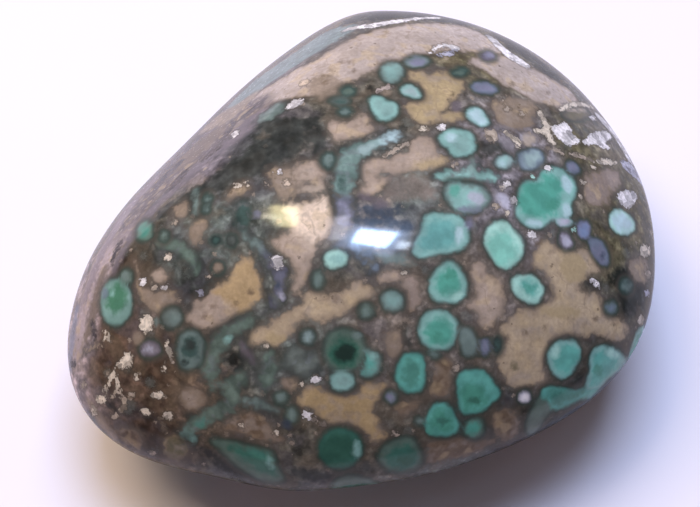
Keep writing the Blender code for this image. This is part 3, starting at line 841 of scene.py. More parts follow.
# Nodules of the hidden sides: how many, sizes in millimetres, shift and size of the core as
# shares of the nodule, and colours of core and rim
HIDDEN_NODULES = 74
HIDDEN_NODULE_SIZES = (0.7, 2.3)
HIDDEN_CORE_SHIFT = (-0.12, 0.12)
HIDDEN_CORE_SHARE = (0.55, 0.75)
HIDDEN_NODULE_CHOICES = (
    ("mint", "pale mint"), ("sea green", "pale teal"), ("sea green", "pale mint"),
    ("bottle green", "teal"), ("deep green", "dull teal"), ("teal", "pale teal"),
    ("grey teal", "dull teal"), ("lavender", "grey teal"), ("dark teal", "grey green"),
)

# Ground tone of the hidden sides: how many places, and colours
HIDDEN_GROUNDS = 26
HIDDEN_GROUND_COLOURS = ("grey olive", "grey green", "earth", "dark", "olive")

# Strokes of the hidden sides: how many, steps in each, stride and widths in millimetres, colours
HIDDEN_PATCHES = (34, 4, 2.2, (0.9, 1.9), (
    "tan", "tan", "pink tan", "ochre", "dull tan", "brown", "hinge pink"))
HIDDEN_VEINS = (16, 5, 1.8, (0.4, 0.9), ("dull teal", "teal", "grey teal", "lavender"))
HIDDEN_SHADES = (14, 4, 2.0, (0.6, 1.5), ("dark", "black green"))
HIDDEN_FLECKS = (46, 3, 0.6, (0.15, 0.45), ("white", "cream"))

# Kinds of marking: over how many millimetres their shapes and their colours run together
KINDS = (
    ("patch", PATCHES, 0.12, 0.35, HIDDEN_PATCHES),
    ("vein", VEINS, 0.10, 0.30, HIDDEN_VEINS),
    ("shade", SHADES, 0.30, 0.40, HIDDEN_SHADES),
    ("fleck", FLECKS, 0.05, 0.05, HIDDEN_FLECKS),
    ("spot", [Oval(*row) for row in SPOTS], 0.05, 0.05, None),
    ("tint", TINTS, 0.15, 0.30, None),
)

# Edge of each kind: a coarse and a fine noise that make it wander, each with its reach in
# millimetres, and how soft the edge is
EDGES = {
    "shade": ("middle", 1.6, "small", 0.4, 0.45),
    "patch": ("middle", 1.0, "small", 0.45, 0.26),
    "tint": ("middle", 1.2, "small", 0.4, 0.4),
    "vein": ("middle", 1.3, "small", 0.4, 0.34),
    "nodule": ("middle", 0.35, "small", 0.12, 0.2),
    "spot": ("middle", 0.7, "small", 0.25, 0.28),
    "fleck": ("small", 0.8, "fine", 0.2, 0.09),
}


def tint(*colour):
    """Four light values of a colour that is given in 0 to 255, as a screen shows it."""
    shares = [value / 255 for value in colour]
    light = [s / 12.92 if s <= 0.04045 else ((s + 0.055) / 1.055) ** 2.4 for s in shares]
    return (*light, 1.0)


def paint(name):
    """A palette colour as four light values."""
    return tint(*PALETTE[name])


def deselect():
    """Leave nothing selected, so that an operator acts on what is selected next alone."""
    bpy.ops.object.select_all(action="DESELECT")


def make_stone():
    """The stone at full smoothness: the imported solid, merged and subdivided."""
    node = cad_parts["variscite_clam"]
    deselect()
    stone = bpy.data.objects.new("polished_clam_stone", node.data.copy())
    bpy.context.scene.collection.objects.link(stone)
    bpy.context.view_layer.objects.active = stone
    stone.select_set(True)
    bpy.ops.object.mode_set(mode="EDIT")
    bpy.ops.mesh.select_all(action="SELECT")
    bpy.ops.mesh.remove_doubles(threshold=MERGE_DISTANCE)
    bpy.ops.mesh.tris_convert_to_quads()
    bpy.ops.object.mode_set(mode="OBJECT")
    smoother = stone.modifiers.new("smooth_polish", "SUBSURF")
    smoother.levels = SMOOTHING_LEVELS
    smoother.render_levels = SMOOTHING_LEVELS
    bpy.ops.object.modifier_apply(modifier=smoother.name)
    bpy.ops.object.shade_smooth()
    stone.data.materials.clear()
    return stone


def ray_through(x, y):
    """Direction of the camera's ray through a pixel of the photograph."""
    across = CAMERA_RIGHT * ((x - PHOTO_WIDTH / 2) / PIXELS_PER_SLOPE)
    down = CAMERA_UP * ((y - PHOTO_HEIGHT / 2) / PIXELS_PER_SLOPE)
    return (across - down - CAMERA_BACK).normalized()


def pixels_of(points):
    """Where the photograph shows each point."""
    offsets = points - np.array(CAMERA_PLACE)
    depth = -offsets @ np.array(CAMERA_BACK)
    across = offsets @ np.array(CAMERA_RIGHT) / depth
    up = offsets @ np.array(CAMERA_UP) / depth
    return np.stack((PHOTO_WIDTH / 2 + across * PIXELS_PER_SLOPE,
                     PHOTO_HEIGHT / 2 - up * PIXELS_PER_SLOPE), axis=1)


def on_plane(point, normal, x, y):
    """Where the ray through a pixel meets the plane that touches the stone at a point."""
    ray = ray_through(x, y)
    return CAMERA_PLACE + ray * ((point - CAMERA_PLACE).dot(normal) / ray.dot(normal))


def facing_camera(points, normals):
    """How squarely each point faces the camera: 1 is full on, 0 is side on."""
    views = np.array(CAMERA_PLACE) - points
    views /= np.linalg.norm(views, axis=1)[:, None]
    return (normals * views).sum(1)


def read_points(mesh, what):
    """The places or the normals of all points of a mesh."""
    values = np.empty(len(mesh.vertices) * 3)
    mesh.vertices.foreach_get(what, values)
    return values.reshape(-1, 3)


class Surface:
    """The stone's surface, for rays from the camera and for the places of markings."""

    def __init__(self, stone):
        mesh = stone.data
        self.points = read_points(mesh, "co")
        self.normals = read_points(mesh, "normal")
        self.seen = facing_camera(self.points, self.normals) > MARKED_FACING
        self.pixels = pixels_of(self.points)
        faces = [polygon.vertices[:] for polygon in mesh.polygons]
        self.tree = BVHTree.FromPolygons([v.co for v in mesh.vertices], faces)

    def under_pixel(self, x, y):
        """Point and normal under a pixel. One just off the outline moves in to the stone."""
        for step in range(INWARD_STEPS):
            share = step * INWARD_SHARE
            px = x + (STONE_MIDDLE_PIXEL[0] - x) * share
            py = y + (STONE_MIDDLE_PIXEL[1] - y) * share
            point, normal, _, _ = self.tree.ray_cast(CAMERA_PLACE, ray_through(px, py))
            if point is not None and normal.dot(CAMERA_BACK) > HIT_FACING:
                return point, normal
        raise ValueError(f"pixel {x}, {y} is nowhere near the stone")

    def near(self, place):
        """Nearest point of the surface, with its normal."""
        point, normal, _, _ = self.tree.find_nearest(place)
        return point, normal

    def pixel_steps(self, x, y):
        """Point under a pixel, its normal, and what one pixel across and down are there."""
        point, normal = self.under_pixel(x, y)
        middle = on_plane(point, normal, x, y)
        across = on_plane(point, normal, x + 1, y) - middle
        down = on_plane(point, normal, x, y + 1) - middle
        return point, normal, across, down

    def around(self, ring):
        """Points that the photograph shows near a ring, and how pixels lie flat there.

        Gives the points' numbers, their places on the plane that touches the stone in the
        ring's middle, and the function that takes pixels on to that plane.
        """
        middle = ring.mean(0)
        _, normal, across, down = self.pixel_steps(*middle)
        first = across.normalized()
        second = normal.cross(first)
        steps = np.array([[step.dot(first), step.dot(second)] for step in (across, down)])
        reach = np.linalg.norm(ring - middle, axis=1).max() + MARK_REACH
        close = np.linalg.norm(self.pixels - middle, axis=1) < reach
        where = np.flatnonzero(close & self.seen)

        def flat(pixels):
            return (pixels - middle) @ steps

        return where, flat(self.pixels[where]), flat

    def about(self, point, normal, first, reach):
        """Points near a place and on its side, with their places on the plane there."""
        offset = self.points - np.array(point)
        same_side = self.normals @ np.array(normal) > SAME_SIDE_FACING
        where = np.flatnonzero(same_side & (np.linalg.norm(offset, axis=1) < reach))
        axes = np.array([first, normal.cross(first)])
        return where, offset[where] @ axes.T


def smooth_ring(places):
    """A closed curve through the places, as a ring of closer places."""
    ring = np.array(places, dtype=float)
    before, after, beyond = np.roll(ring, 1, 0), np.roll(ring, -1, 0), np.roll(ring, -2, 0)
    bend = 2 * before - 5 * ring + 4 * after - beyond
    twist = 3 * ring - before - 3 * after + beyond
    steps = [0.5 * (2 * ring + (after - before) * t + bend * t**2 + twist * t**3)
             for t in (0.0, 0.25, 0.5, 0.75)]
    return np.stack(steps, 1).reshape(-1, 2)


def ring_distance(places, ring):
    """Distance of flat places from a ring, negative inside it."""
    edges = np.roll(ring, -1, axis=0) - ring
    offset = places[:, None] - ring
    square = np.maximum((edges**2).sum(1), LEAST_SQUARE)
    share = np.clip((offset * edges).sum(2) / square, 0, 1)
    gap = np.linalg.norm(offset - share[..., None] * edges, axis=2).min(1)
    level = places[:, 1:]
    crosses = (ring[:, 1] > level) != (ring[:, 1] + edges[:, 1] > level)
    rise = np.where(np.abs(edges[:, 1]) < LEAST_LENGTH, LEAST_LENGTH, edges[:, 1])
    crossing = ring[:, 0] + (level - ring[:, 1]) * edges[:, 0] / rise
    inside = (crosses & (places[:, :1] < crossing)).sum(1) % 2 == 1
    return np.where(inside, -gap, gap)


class Layer:
    """One kind of marking: how far each point of the stone is from it, and its colour there."""

    def __init__(self, points, blend, colour_blend):
        self.points = points
        self.blend = blend
        self.colour_blend = colour_blend
        self.nearness = np.zeros(len(points))
        self.weight = np.zeros(len(points))
        self.colour = np.zeros((len(points), 4))
        self.core = np.zeros(len(points))
        self.rim = np.zeros((len(points), 4))

    def add(self, where, distance, colour, rim=None, core=None):
        """Lay one mark in at some points. Marks that touch run together over the blends."""
        powers = np.clip(-distance / self.blend, -LARGEST_POWER, LARGEST_POWER)
        self.nearness[where] += np.exp(powers)
        powers = np.clip(-distance / self.colour_blend, -LARGEST_POWER, LARGEST_POWER)
        weight = np.exp(powers)
        self.weight[where] += weight
        self.colour[where] += weight[:, None] * np.array(colour)
        if rim is not None:
            self.rim[where] += weight[:, None] * np.array(rim)
            self.core[where] += weight * core / MM

    def store(self, mesh, name):
        """Keep the layer on the mesh: distances in millimetres, and colours."""
        total = np.maximum(self.weight, LEAST_WEIGHT)
        distance = -self.blend * np.log(np.maximum(self.nearness, LEAST_WEIGHT)) / MM
        keep_values(mesh, f"{name}_distance", np.clip(distance, -FARTHEST_KEPT, FARTHEST_KEPT))
        keep_colours(mesh, f"{name}_colour", self.colour / total[:, None])
        if self.rim.any():
            keep_values(mesh, f"{name}_core", self.core / total)
            keep_colours(mesh, f"{name}_rim", self.rim / total[:, None])


def keep_values(mesh, name, values):
    """A number at every point of the mesh."""
    attribute = mesh.attributes.new(name, "FLOAT", "POINT")
    attribute.data.foreach_set("value", values.astype(np.float32))


def keep_colours(mesh, name, colours):
    """A colour at every point of the mesh."""
    attribute = mesh.attributes.new(name, "FLOAT_COLOR", "POINT")
    attribute.data.foreach_set("color", colours.astype(np.float32).ravel())


def rod_distance(points, start, start_radius, end, end_radius):
    """Distance outside a tapering rod between two places."""
    start, end = np.array(start), np.array(end)
    along = end - start
    square = max(float(along @ along), LEAST_LENGTH)
    share = np.clip((points - start) @ along / square, 0, 1)
    nearest = start + share[:, None] * along
    radius = start_radius + (end_radius - start_radius) * share
    return np.linalg.norm(points - nearest, axis=1) - radius


def lay_rods(layer, rods, colour):
    """Lay a chain of places, each with its radius, in a layer."""
    best = np.full(len(layer.points), np.inf)
    for (start, start_radius), (end, end_radius) in zip(rods, rods[1:]):
        best = np.minimum(best, rod_distance(layer.points, start, start_radius, end, end_radius))
    layer.add(slice(None), best, colour)


def lay_stroke(layer, surface, stroke):
    """Lay a stroke of the photograph on the stone."""
    rods = []
    places = stroke.places
    for index, (x, y, width) in enumerate(places):
        before, after = places[max(index - 1, 0)], places[min(index + 1, len(places) - 1)]
        heading = atan2(after[1] - before[1], after[0] - before[0])
        point, _, across, down = surface.pixel_steps(x, y)
        along = (across * cos(heading) + down * sin(heading)).normalized()
        side = (down * cos(heading) - across * sin(heading)) * (width / 2)
        side -= along * side.dot(along)
        rods.append((point, min(side.length, WIDEST_STROKE)))
    lay_rods(layer, rods, paint(stroke.colour))


def lay_marking(layer, surface, marking):
    """Lay a marking of the photograph on the stone: a stroke, an outline or an oval."""
    if isinstance(marking, Stroke):
        lay_stroke(layer, surface, marking)
        return
    ring = smooth_ring(oval(*marking[2:]) if isinstance(marking, Oval) else marking.places)
    where, places, flat = surface.around(ring)
    layer.add(where, ring_distance(places, flat(ring)), paint(marking.colour))


def lay_nodule(layer, surface, nodule):
    """Lay a nodule of the photograph on the stone, with its core."""
    ring = smooth_ring(nodule.places)
    middle = ring.mean(0)
    if nodule.inner:
        core = smooth_ring(nodule.inner)
    else:
        core = middle + (nodule.dx, nodule.dy) + (ring - middle) * nodule.share
    where, places, flat = surface.around(ring)
    layer.add(where, ring_distance(places, flat(ring)), paint(nodule.core), paint(nodule.rim),
              ring_distance(places, flat(core)))


class HiddenSides:
    """Seeded random places on the sides that the photograph doesn't show."""

    def __init__(self, surface, stone):
        self.surface = surface
        self.random = np.random.default_rng(SEED)
        mesh = stone.data
        centres = np.array([polygon.center for polygon in mesh.polygons])
        normals = np.array([polygon.normal for polygon in mesh.polygons])
        areas = np.array([polygon.area for polygon in mesh.polygons])
        hidden = facing_camera(centres, normals) < HIDDEN_FACING
        self.centres = centres[hidden]
        self.normals = normals[hidden]
        self.chances = areas[hidden] / areas[hidden].sum()
        self.taken = []

    def place(self, clear=0.0):
        """A place with its normal, kept clear of the places taken before."""
        for _ in range(HIDDEN_TRIES):
            index = self.random.choice(len(self.centres), p=self.chances)
            centre = self.centres[index]
            if all(np.linalg.norm(centre - other) > clear + gap for other, gap in self.taken):
                break
        if clear:
            self.taken.append((centre, clear))
        return Vector(centre), Vector(self.normals[index])

    def pick(self, choices):
        """One of the choices."""
        return choices[self.random.integers(len(choices))]

    def between(self, low, high):
        """A number between two limits."""
        return float(self.random.uniform(low, high))

    def ring(self, size):
        """An uneven oval ring of a size, round the middle of a plane."""
        angles = np.linspace(0, 2 * pi, 12, endpoint=False)
        reach = size * (1 + 0.10 * np.sin(2 * angles + self.between(0, 6))
                        + 0.07 * np.sin(3 * angles + self.between(0, 6)))
        tall = self.between(0.75, 1.2)
        return smooth_ring(np.stack((reach * np.cos(angles), reach * tall * np.sin(angles)), 1))

    def wander(self, steps, stride, width):
        """A chain of places that wanders over the surface, each with its radius."""
        place, normal = self.place()
        side = normal.orthogonal().normalized()
        heading = self.between(0, 2 * pi)
        rods = []
        for _ in range(steps):
            rods.append((place, width * self.between(0.6, 1.2)))
            heading += self.between(-0.7, 0.7)
            step = side * cos(heading) + normal.cross(side) * sin(heading)
            place, normal = self.surface.near(place + step * stride * self.between(0.7, 1.2))
            side = (side - normal * side.dot(normal)).normalized()
        return rods


def lay_hidden_nodules(layer, surface, hidden):
    """Nodules of the hidden sides."""
    for _ in range(HIDDEN_NODULES):
        size = hidden.between(*HIDDEN_NODULE_SIZES) * MM
        point, normal = hidden.place(size)
        side = normal.orthogonal().normalized()
        where, places = surface.about(point, normal, side, size * 1.4 + 2 * MM)
        ring = hidden.ring(size)
        shift = np.array([hidden.between(*HIDDEN_CORE_SHIFT) for _ in range(2)]) * size
        core, rim = hidden.pick(HIDDEN_NODULE_CHOICES)
        inner = ring * hidden.between(*HIDDEN_CORE_SHARE) + shift
        layer.add(where, ring_distance(places, ring), paint(core), paint(rim),
                  ring_distance(places, inner))


def lay_hidden_strokes(layer, hidden, count, steps, stride, widths, colours):
    """Patches, veins, shades or flecks of the hidden sides."""
    for _ in range(count):
        rods = hidden.wander(steps, stride * MM, hidden.between(*widths) * MM)
        lay_rods(layer, rods, paint(hidden.pick(colours)))


def ground_colours(surface, hidden):
    """The broad tone of the rock at every point, from the nearest named places."""
    places = [surface.under_pixel(x, y)[0] for _, x, y, _ in GROUND]
    colours = [paint(colour) for _, _, _, colour in GROUND]
    for _ in range(HIDDEN_GROUNDS):
        places.append(hidden.place()[0])
        colours.append(paint(hidden.pick(HIDDEN_GROUND_COLOURS)))
    total = np.zeros(len(surface.points))
    mixed = np.zeros((len(surface.points), 4))
    for place, colour in zip(places, colours):
        weight = (((surface.points - np.array(place)) ** 2).sum(1) + MM**2) ** -2
        total += weight
        mixed += weight[:, None] * np.array(colour)
    return mixed / total[:, None]


def mark_stone(stone):
    """Lay every marking on the stone and keep it with the mesh."""
    surface = Surface(stone)
    hidden = HiddenSides(surface, stone)
    nodules = Layer(surface.points, 0.05 * MM, 0.08 * MM)
    for nodule in NODULES:
        lay_nodule(nodules, surface, nodule)
    lay_hidden_nodules(nodules, surface, hidden)
    nodules.store(stone.data, "nodule")
    for kind, markings, blend, colour_blend, strokes in KINDS:
        layer = Layer(surface.points, blend * MM, colour_blend * MM)
        for marking in markings:
            lay_marking(layer, surface, marking)
        if strokes:
            lay_hidden_strokes(layer, hidden, *strokes)
        layer.store(stone.data, kind)
    keep_colours(stone.data, "ground_colour", ground_colours(surface, hidden))


class Tree:
    """A material's or a group's nodes, made and linked in one call each."""

    def __init__(self, tree):
        self.tree = tree

    def node(self, kind, inputs=(), **settings):
        """A node with its settings, and its inputs set or linked."""
        made = self.tree.nodes.new(kind)
        for key, value in settings.items():
            setattr(made, key, value)
        for key, value in dict(inputs).items():
            if isinstance(value, bpy.types.NodeSocket):
                self.tree.links.new(value, made.inputs[key])
            else:
                made.inputs[key].default_value = value
        return made

    def value(self, name):
        """A number kept on the mesh."""
        return self.node("ShaderNodeAttribute", attribute_name=name).outputs["Fac"]

    def colour(self, name):
        """A colour kept on the mesh."""
        return self.node("ShaderNodeAttribute", attribute_name=name).outputs["Color"]

    def calc(self, operation, *values):
        """A number worked out from others."""
        return self.node("ShaderNodeMath", enumerate(values), operation=operation).outputs[0]

    def mix(self, share, first, second):
        """Two colours mixed by a share."""
        made = self.node("ShaderNodeMix", {0: share, 6: first, 7: second}, data_type="RGBA")
        return made.outputs[2]

    def scale(self, colour, amount):
        """A colour made lighter or darker."""
        return self.node("ShaderNodeVectorMath", {0: colour, 3: amount},
                         operation="SCALE").outputs[0]

    def vary(self, colour, value, start, end, low, high):
        """A colour made lighter or darker by a smooth step of a value."""
        return self.scale(colour, self.fade(value, start, end, low, high))

    def lay(self, tone, colour, mask, share):
        """A tone with another colour laid over it where a mask says, up to a share."""
        return self.mix(self.calc("MULTIPLY", mask, share), tone, colour)

    def sway(self, noise, reach):
        """A noise as a number around zero, with a reach from end to end."""
        return self.calc("MULTIPLY", self.calc("SUBTRACT", noise, 0.5), reach)

    def split(self, colour):
        """The red, green and blue of a colour."""
        return self.node("ShaderNodeSeparateColor", {0: colour}).outputs

    def noise(self, where, size, detail):
        """Noise around 0.5 whose lumps have a size in millimetres."""
        inputs = {"Vector": where, "Scale": 1 / (size * MM), "Detail": detail, "Roughness": 0.5}
        return self.node("ShaderNodeTexNoise", inputs).outputs[0]

    def cells(self, where, size, feature="F1"):
        """Scattered cells of a size in millimetres."""
        inputs = {"Vector": where, "Scale": 1 / (size * MM)}
        return self.node("ShaderNodeTexVoronoi", inputs, feature=feature).outputs

    def warped(self, grain):
        """Places pushed about a little by noise, so that a cell pattern loses its straightness."""
        push = self.scale(grain.middle, 0.0012)
        return self.node("ShaderNodeVectorMath", {0: grain.where, 1: push}).outputs[0]

    def fade(self, value, start, end, low=1.0, high=0.0):
        """A smooth step of a value: low before start, high after end."""
        inputs = {"Value": value, "From Min": start, "From Max": end,
                  "To Min": low, "To Max": high}
        made = self.node("ShaderNodeMapRange", inputs, interpolation_type="SMOOTHSTEP")
        return made.outputs["Result"]


def new_group(name, inputs, outputs):
    """A new group with its inputs and outputs, its nodes, and what it is given."""
    group = bpy.data.node_groups.new(name, "ShaderNodeTree")
    for side, names in (("INPUT", inputs), ("OUTPUT", outputs)):
        for socket in names:
            kind = "NodeSocketVector" if socket == "Vector" else "NodeSocketFloat"
            group.interface.new_socket(socket, in_out=side, socket_type=kind)
    tree = Tree(group)
    return group, tree, tree.node("NodeGroupInput").outputs


def ragged_edge_group():
    """Group: the inside of a marking, with an edge that two noises make wander."""
    inputs = ("Distance", "Coarse", "Coarse Reach", "Fine", "Fine Reach", "Softness")
    group, tree, given = new_group("ragged_edge", inputs, ("Mask", "Edge"))
    coarse = tree.sway(given["Coarse"], given["Coarse Reach"])
    fine = tree.sway(given["Fine"], given["Fine Reach"])
    edge = tree.calc("ADD", given["Distance"], tree.calc("ADD", coarse, fine))
    before = tree.calc("MULTIPLY", given["Softness"], -1.0)
    mask = tree.fade(edge, before, given["Softness"])
    tree.node("NodeGroupOutput", {"Mask": mask, "Edge": edge})
    return group


def scattered_spots_group():
    """Group: round spots of a cell pattern, some left out, with the ring around them."""
    inputs = ("Vector", "Scale", "Share Left Out", "Radius", "Softness", "Ring", "Wobble")
    group, tree, given = new_group("scattered_spots", inputs, ("Spot", "Ring"))
    cells = tree.node("ShaderNodeTexVoronoi", {"Vector": given["Vector"],
                                               "Scale": given["Scale"]}).outputs
    chance, size, _ = tree.split(cells["Color"])
    kept = tree.calc("GREATER_THAN", chance, given["Share Left Out"])
    radius = tree.calc("MULTIPLY", given["Radius"], tree.calc("MULTIPLY_ADD", size, 0.6, 0.4))
    distance = tree.calc("ADD", cells["Distance"], given["Wobble"])
    outer = tree.calc("ADD", radius, given["Softness"])
    spot = tree.calc("MULTIPLY", kept, tree.fade(distance, radius, outer))
    far = tree.calc("ADD", outer, given["Ring"])
    ring = tree.calc("MULTIPLY", kept, tree.fade(distance, outer, far))
    tree.node("NodeGroupOutput", {"Spot": spot, "Ring": ring})
    return group


# What all steps of the rock share: places, noises, and the groups for edges and for spots
Grain = namedtuple("Grain", "where broad cloud middle small fine ragged spots")


def marking(tree, grain, kind):
    """Mask and wandering edge of a kind of marking."""
    coarse, coarse_reach, fine, fine_reach, softness = EDGES[kind]
    inputs = {"Distance": tree.value(f"{kind}_distance"), "Coarse": getattr(grain, coarse),
              "Coarse Reach": coarse_reach, "Fine": getattr(grain, fine),
              "Fine Reach": fine_reach, "Softness": softness}
    made = tree.node("ShaderNodeGroup", inputs, node_tree=grain.ragged).outputs
    return made["Mask"], made["Edge"]


def scatter(tree, grain, size, left_out, radius, softness, ring):
    """Masks of small spots and of the ring around them."""
    inputs = {"Vector": grain.where, "Scale": 1 / (size * MM), "Share Left Out": left_out,
              "Radius": radius, "Softness": softness, "Ring": ring,
              "Wobble": tree.sway(grain.fine, 0.4)}
    made = tree.node("ShaderNodeGroup", inputs, node_tree=grain.spots).outputs
    return made["Spot"], made["Ring"]


def ground(tree, grain):
    """Rock between the markings: cloudy, with small ringed spots and pale crumbs."""
    tone = tree.vary(tree.colour("ground_colour"), grain.cloud, 0.32, 0.68, 0.66, 1.36)
    tone = tree.vary(tone, grain.middle, 0.5, 0.7, 1.0, 1.6)
    tone = tree.vary(tone, grain.middle, 0.3, 0.46, 0.66, 1.0)
    tone = tree.mix(tree.fade(grain.broad, 0.5, 0.62, 0.0, 0.3), tone, tint(104, 90, 76))
    tone = tree.mix(tree.fade(grain.broad, 0.38, 0.5, 0.3, 0.0), tone, tint(84, 80, 88))
    spot, ring = scatter(tree, grain, 1.9, 0.45, 0.26, 0.16, 0.16)
    tone = tree.lay(tone, tint(44, 44, 42), ring, 0.35)
    tone = tree.lay(tone, tint(94, 98, 96), spot, 0.35)
    crumb, _ = scatter(tree, grain, 1.1, 0.62, 0.17, 0.12, 0.1)
    tone = tree.lay(tone, tint(142, 128, 118), crumb, 0.62)
    return tree.vary(tone, grain.small, 0.3, 0.7, 0.87, 1.13)


def shades(tree, grain, tone):
    """Dark bands in the rock, painted shade in its hollows, and a painted reflection by the window's
    highlight.
    """
    mask, _ = marking(tree, grain, "shade")
    dark = tree.vary(tree.colour("shade_colour"), grain.cloud, 0.3, 0.7, 0.75, 1.35)
    dark = tree.vary(dark, grain.middle, 0.35, 0.65, 0.8, 1.2)
    return tree.lay(tone, dark, mask, 0.86)


def patches(tree, grain, tone):
    """Tan and ochre patches with soft brown edges, dark specks and hair cracks."""
    mask, edge = marking(tree, grain, "patch")
    tone = tree.lay(tone, tint(82, 72, 66), tree.fade(edge, 0.1, 0.9), 0.5)
    tan = tree.vary(tree.colour("patch_colour"), grain.broad, 0.3, 0.7, 0.88, 1.1)
    tan = tree.mix(tree.fade(grain.cloud, 0.52, 0.7, 0.0, 0.5), tan, tint(136, 124, 118))
    tan = tree.mix(tree.fade(grain.cloud, 0.3, 0.46, 0.4, 0.0), tan, tint(168, 147, 118))
    tan = tree.mix(tree.fade(grain.middle, 0.55, 0.75, 0.0, 0.5), tan, tint(122, 107, 94))
    tan = tree.vary(tan, grain.small, 0.25, 0.75, 0.91, 1.09)
    tan = tree.mix(tree.fade(edge, -0.7, 0.1, 0.0, 0.55), tan, tint(112, 98, 88))
    speck, _ = scatter(tree, grain, 0.75, 0.80, 0.13, 0.12, 0.1)
    tan = tree.lay(tan, tint(82, 70, 60), speck, 0.6)
    crack = tree.cells(tree.warped(grain), 2.6, "DISTANCE_TO_EDGE")["Distance"]
    crack = tree.calc("MULTIPLY", tree.fade(crack, 0.0, 0.05),
                      tree.fade(grain.broad, 0.45, 0.6, 0.0, 0.3))
    tan = tree.mix(crack, tan, tint(110, 94, 82))
    return tree.mix(mask, tone, tan)


def tints(tree, grain, tone):
    """Broad marks of another colour with edges that melt away."""
    mask, _ = marking(tree, grain, "tint")
    colour = tree.vary(tree.colour("tint_colour"), grain.cloud, 0.3, 0.7, 0.88, 1.12)
    colour = tree.vary(colour, grain.small, 0.3, 0.7, 0.92, 1.08)
    return tree.lay(tone, colour, mask, 0.85)


def veins(tree, grain, tone):
    """Dull teal and grey veins that melt into a dark seam, and one stroke of painted reflection."""
    mask, edge = marking(tree, grain, "vein")
    tone = tree.lay(tone, tint(50, 53, 52), tree.fade(edge, 0.2, 0.9), 0.6)
    teal = tree.vary(tree.colour("vein_colour"), grain.cloud, 0.3, 0.7, 0.66, 1.3)
    teal = tree.mix(tree.fade(grain.middle, 0.5, 0.7, 0.0, 0.4), teal, tint(104, 110, 118))
    teal = tree.vary(teal, grain.small, 0.3, 0.7, 0.92, 1.08)
    teal = tree.vary(teal, edge, -0.7, 0.2, 1.1, 0.8)
    return tree.lay(tone, teal, mask, 0.88), mask


def nodules(tree, grain, tone):
    """Round nodules: soft dark halo, pale rim and a core that melts into it."""
    mask, edge = marking(tree, grain, "nodule")
    shadow = tree.mix(tree.fade(edge, 0.1, 0.5), tint(70, 64, 59), tint(50, 60, 56))
    tone = tree.lay(tone, shadow, tree.fade(edge, 0.15, 0.85), 0.74)
    wobble = tree.calc("ADD", tree.sway(grain.small, 0.2), tree.sway(grain.middle, 1.2))
    core = tree.calc("ADD", tree.value("nodule_core"), wobble)
    inside = tree.fade(core, -0.42, 0.48, 1.0, 0.15)
    green = tree.mix(inside, tree.colour("nodule_rim"), tree.colour("nodule_colour"))
    green = tree.vary(green, grain.small, 0.25, 0.75, 0.96, 1.04)
    green = tree.vary(green, grain.cloud, 0.3, 0.7, 0.88, 1.12)
    green = tree.vary(green, edge, -0.4, 0.05, 1.0, 0.72)
    return tree.mix(mask, tone, green), mask


def spots(tree, grain, tone):
    """Soft spots of another colour."""
    mask, _ = marking(tree, grain, "spot")
    colour = tree.vary(tree.colour("spot_colour"), grain.small, 0.3, 0.7, 0.95, 1.05)
    return tree.lay(tone, colour, mask, 0.8)


def flecks(tree, grain, tone):
    """White and cream flecks with crumbled edges, two of them painted reflection along the right rim.
    """
    mask, edge = marking(tree, grain, "fleck")
    tone = tree.lay(tone, tint(62, 56, 52), tree.fade(edge, 0.05, 0.35), 0.45)
    white = tree.vary(tree.colour("fleck_colour"), grain.small, 0.3, 0.7, 0.72, 1.12)
    bits = tree.split(tree.cells(tree.warped(grain), 0.9)["Color"])[0]
    white = tree.vary(white, bits, 0.1, 0.6, 0.5, 1.04)
    return tree.mix(mask, tone, white)


def new_material(name):
    """A new material, its nodes, and the places that they colour."""
    material = bpy.data.materials.new(name)
    material.use_nodes = True
    material.node_tree.nodes.clear()
    tree = Tree(material.node_tree)
    return material, tree, tree.node("ShaderNodeTexCoord").outputs["Object"]


def stone_material():
    """Polished rock: ground, patches, veins, ringed nodules and flecks under one gloss."""
    material, tree, where = new_material("polished_variscite")
    noises = {name: tree.noise(where, *numbers) for name, numbers in NOISES.items()}
    grain = Grain(where, ragged=ragged_edge_group(), spots=scattered_spots_group(), **noises)
    tone = patches(tree, grain, shades(tree, grain, ground(tree, grain)))
    tone, vein = veins(tree, grain, tints(tree, grain, tone))
    tone, nodule = nodules(tree, grain, tone)
    tone = flecks(tree, grain, spots(tree, grain, tone))
    tone = tree.scale(tone, LIGHTNESS)
    hard = tree.calc("MAXIMUM", nodule, tree.calc("MULTIPLY", vein, 0.6))
    roughness = tree.calc("ADD", tree.fade(hard, 0.0, 1.0, 0.26, 0.18),
                          tree.sway(grain.small, 0.08))
    height = tree.calc("ADD", tree.calc("MULTIPLY", hard, 0.5),
                       tree.calc("MULTIPLY", grain.small, 0.5))
    bump = tree.node("ShaderNodeBump", {"Height": height, "Strength": 0.25,
                                        "Distance": 0.04 * MM}).outputs["Normal"]
    slant = tree.node("ShaderNodeLayerWeight", {"Blend": 0.5}).outputs["Facing"]
    polish = tree.calc("MULTIPLY", tree.fade(hard, 0.0, 1.0, 0.40, 0.54),
                       tree.fade(slant, 0.45, 0.85, 1.0, 0.3))
    shader = tree.node("ShaderNodeBsdfPrincipled", {
        "Base Color": tone, "Roughness": roughness, "Normal": bump, "Metallic": 0.0,
        "IOR": 1.56, "Specular IOR Level": 0.04, "Coat Weight": polish,
        "Coat Roughness": 0.075, "Coat IOR": 1.5})
    tree.node("ShaderNodeOutputMaterial", {"Surface": shader.outputs[0]})
    return material


def floor_material():
    """Plain white paper."""
    material, tree, where = new_material("white_paper")
    tone = tree.mix(tree.noise(where, PAPER_LUMP, 2.0), *PAPER_TONES)
    shader = tree.node("ShaderNodeBsdfPrincipled", {"Base Color": tone, "Roughness": 0.9,
                                                    "Metallic": 0.0})
    tree.node("ShaderNodeOutputMaterial", {"Surface": shader.outputs[0]})
    return material


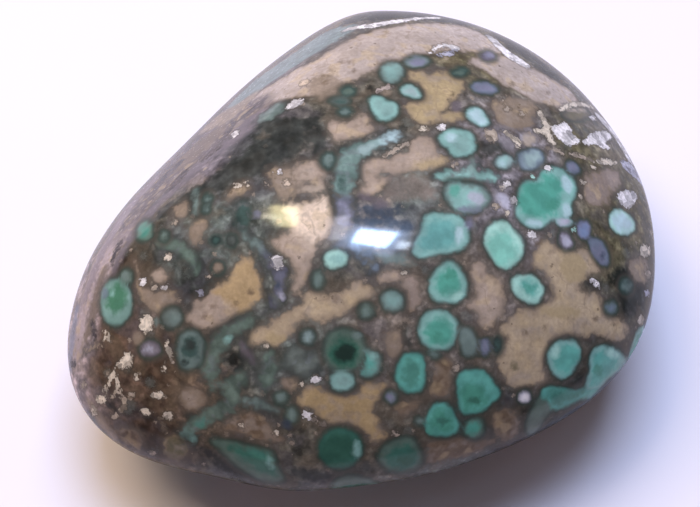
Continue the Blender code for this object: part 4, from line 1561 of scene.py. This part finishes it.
def make_floor():
    """The paper that the stone lies on."""
    deselect()
    bpy.ops.mesh.primitive_plane_add(size=PAPER_SIZE, location=(0.0, 0.0, -PAPER_GAP))
    floor = bpy.context.active_object
    floor.name = "paper_floor"
    bpy.ops.object.transform_apply(location=True, rotation=True, scale=True)
    floor.data.materials.append(floor_material())
    return floor


def direction_to(azimuth, elevation):
    """Direction given by degrees from +Y towards +X, and degrees up."""
    around, up = radians(azimuth), radians(elevation)
    return Vector((cos(up) * sin(around), cos(up) * cos(around), sin(up)))


def add_light(name, azimuth, elevation, size, colour, power, shine, turn):
    """A rectangular light that faces the stone. It shows in the polish, or lights the rest."""
    data = bpy.data.lights.new(name, "AREA")
    data.shape = "RECTANGLE"
    data.size, data.size_y = size
    data.color = colour
    data.energy = power
    lamp = bpy.data.objects.new(name, data)
    bpy.context.scene.collection.objects.link(lamp)
    toward = direction_to(azimuth, elevation)
    lamp.location = LIGHT_AIM + toward * (SHINE_DISTANCE if shine else SOFT_DISTANCE)
    facing = toward.to_track_quat("Z", "Y") @ Quaternion((0.0, 0.0, 1.0), radians(turn))
    lamp.rotation_euler = facing.to_euler()
    lamp.visible_glossy = shine
    lamp.visible_diffuse = not shine


def light_scene():
    """Window and lamp that show in the polish, soft warm key and cool fill, and a dim room."""
    for light in LIGHTS:
        add_light(*light)
    world = bpy.data.worlds.new("studio")
    world.use_nodes = True
    world.node_tree.nodes.clear()
    tree = Tree(world.node_tree)
    rays = tree.node("ShaderNodeLightPath").outputs
    tone = tree.mix(rays["Is Glossy Ray"], ROOM_LIGHT, ROOM_SHINE)
    tone = tree.mix(rays["Is Camera Ray"], tone, BACKDROP)
    sky = tree.node("ShaderNodeBackground", {"Color": tone, "Strength": 1.0})
    tree.node("ShaderNodeOutputWorld", {"Surface": sky.outputs[0]})
    bpy.context.scene.world = world
    bpy.context.scene.view_settings.view_transform = "Standard"


def place_camera():
    """The camera at the photograph's angle."""
    data = bpy.data.cameras.new("photo_camera")
    data.lens = LENS
    data.sensor_width = SENSOR
    data.clip_start = 0.01
    camera = bpy.data.objects.new("photo_camera", data)
    bpy.context.scene.collection.objects.link(camera)
    camera.location = CAMERA_PLACE
    camera.rotation_euler = CAMERA_BACK.to_track_quat("Z", "Y").to_euler()
    bpy.context.scene.camera = camera


place_camera()
stone = make_stone()
mark_stone(stone)
stone.data.materials.append(stone_material())
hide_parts("variscite_clam")
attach(stone, "root")
make_floor()
light_scene()
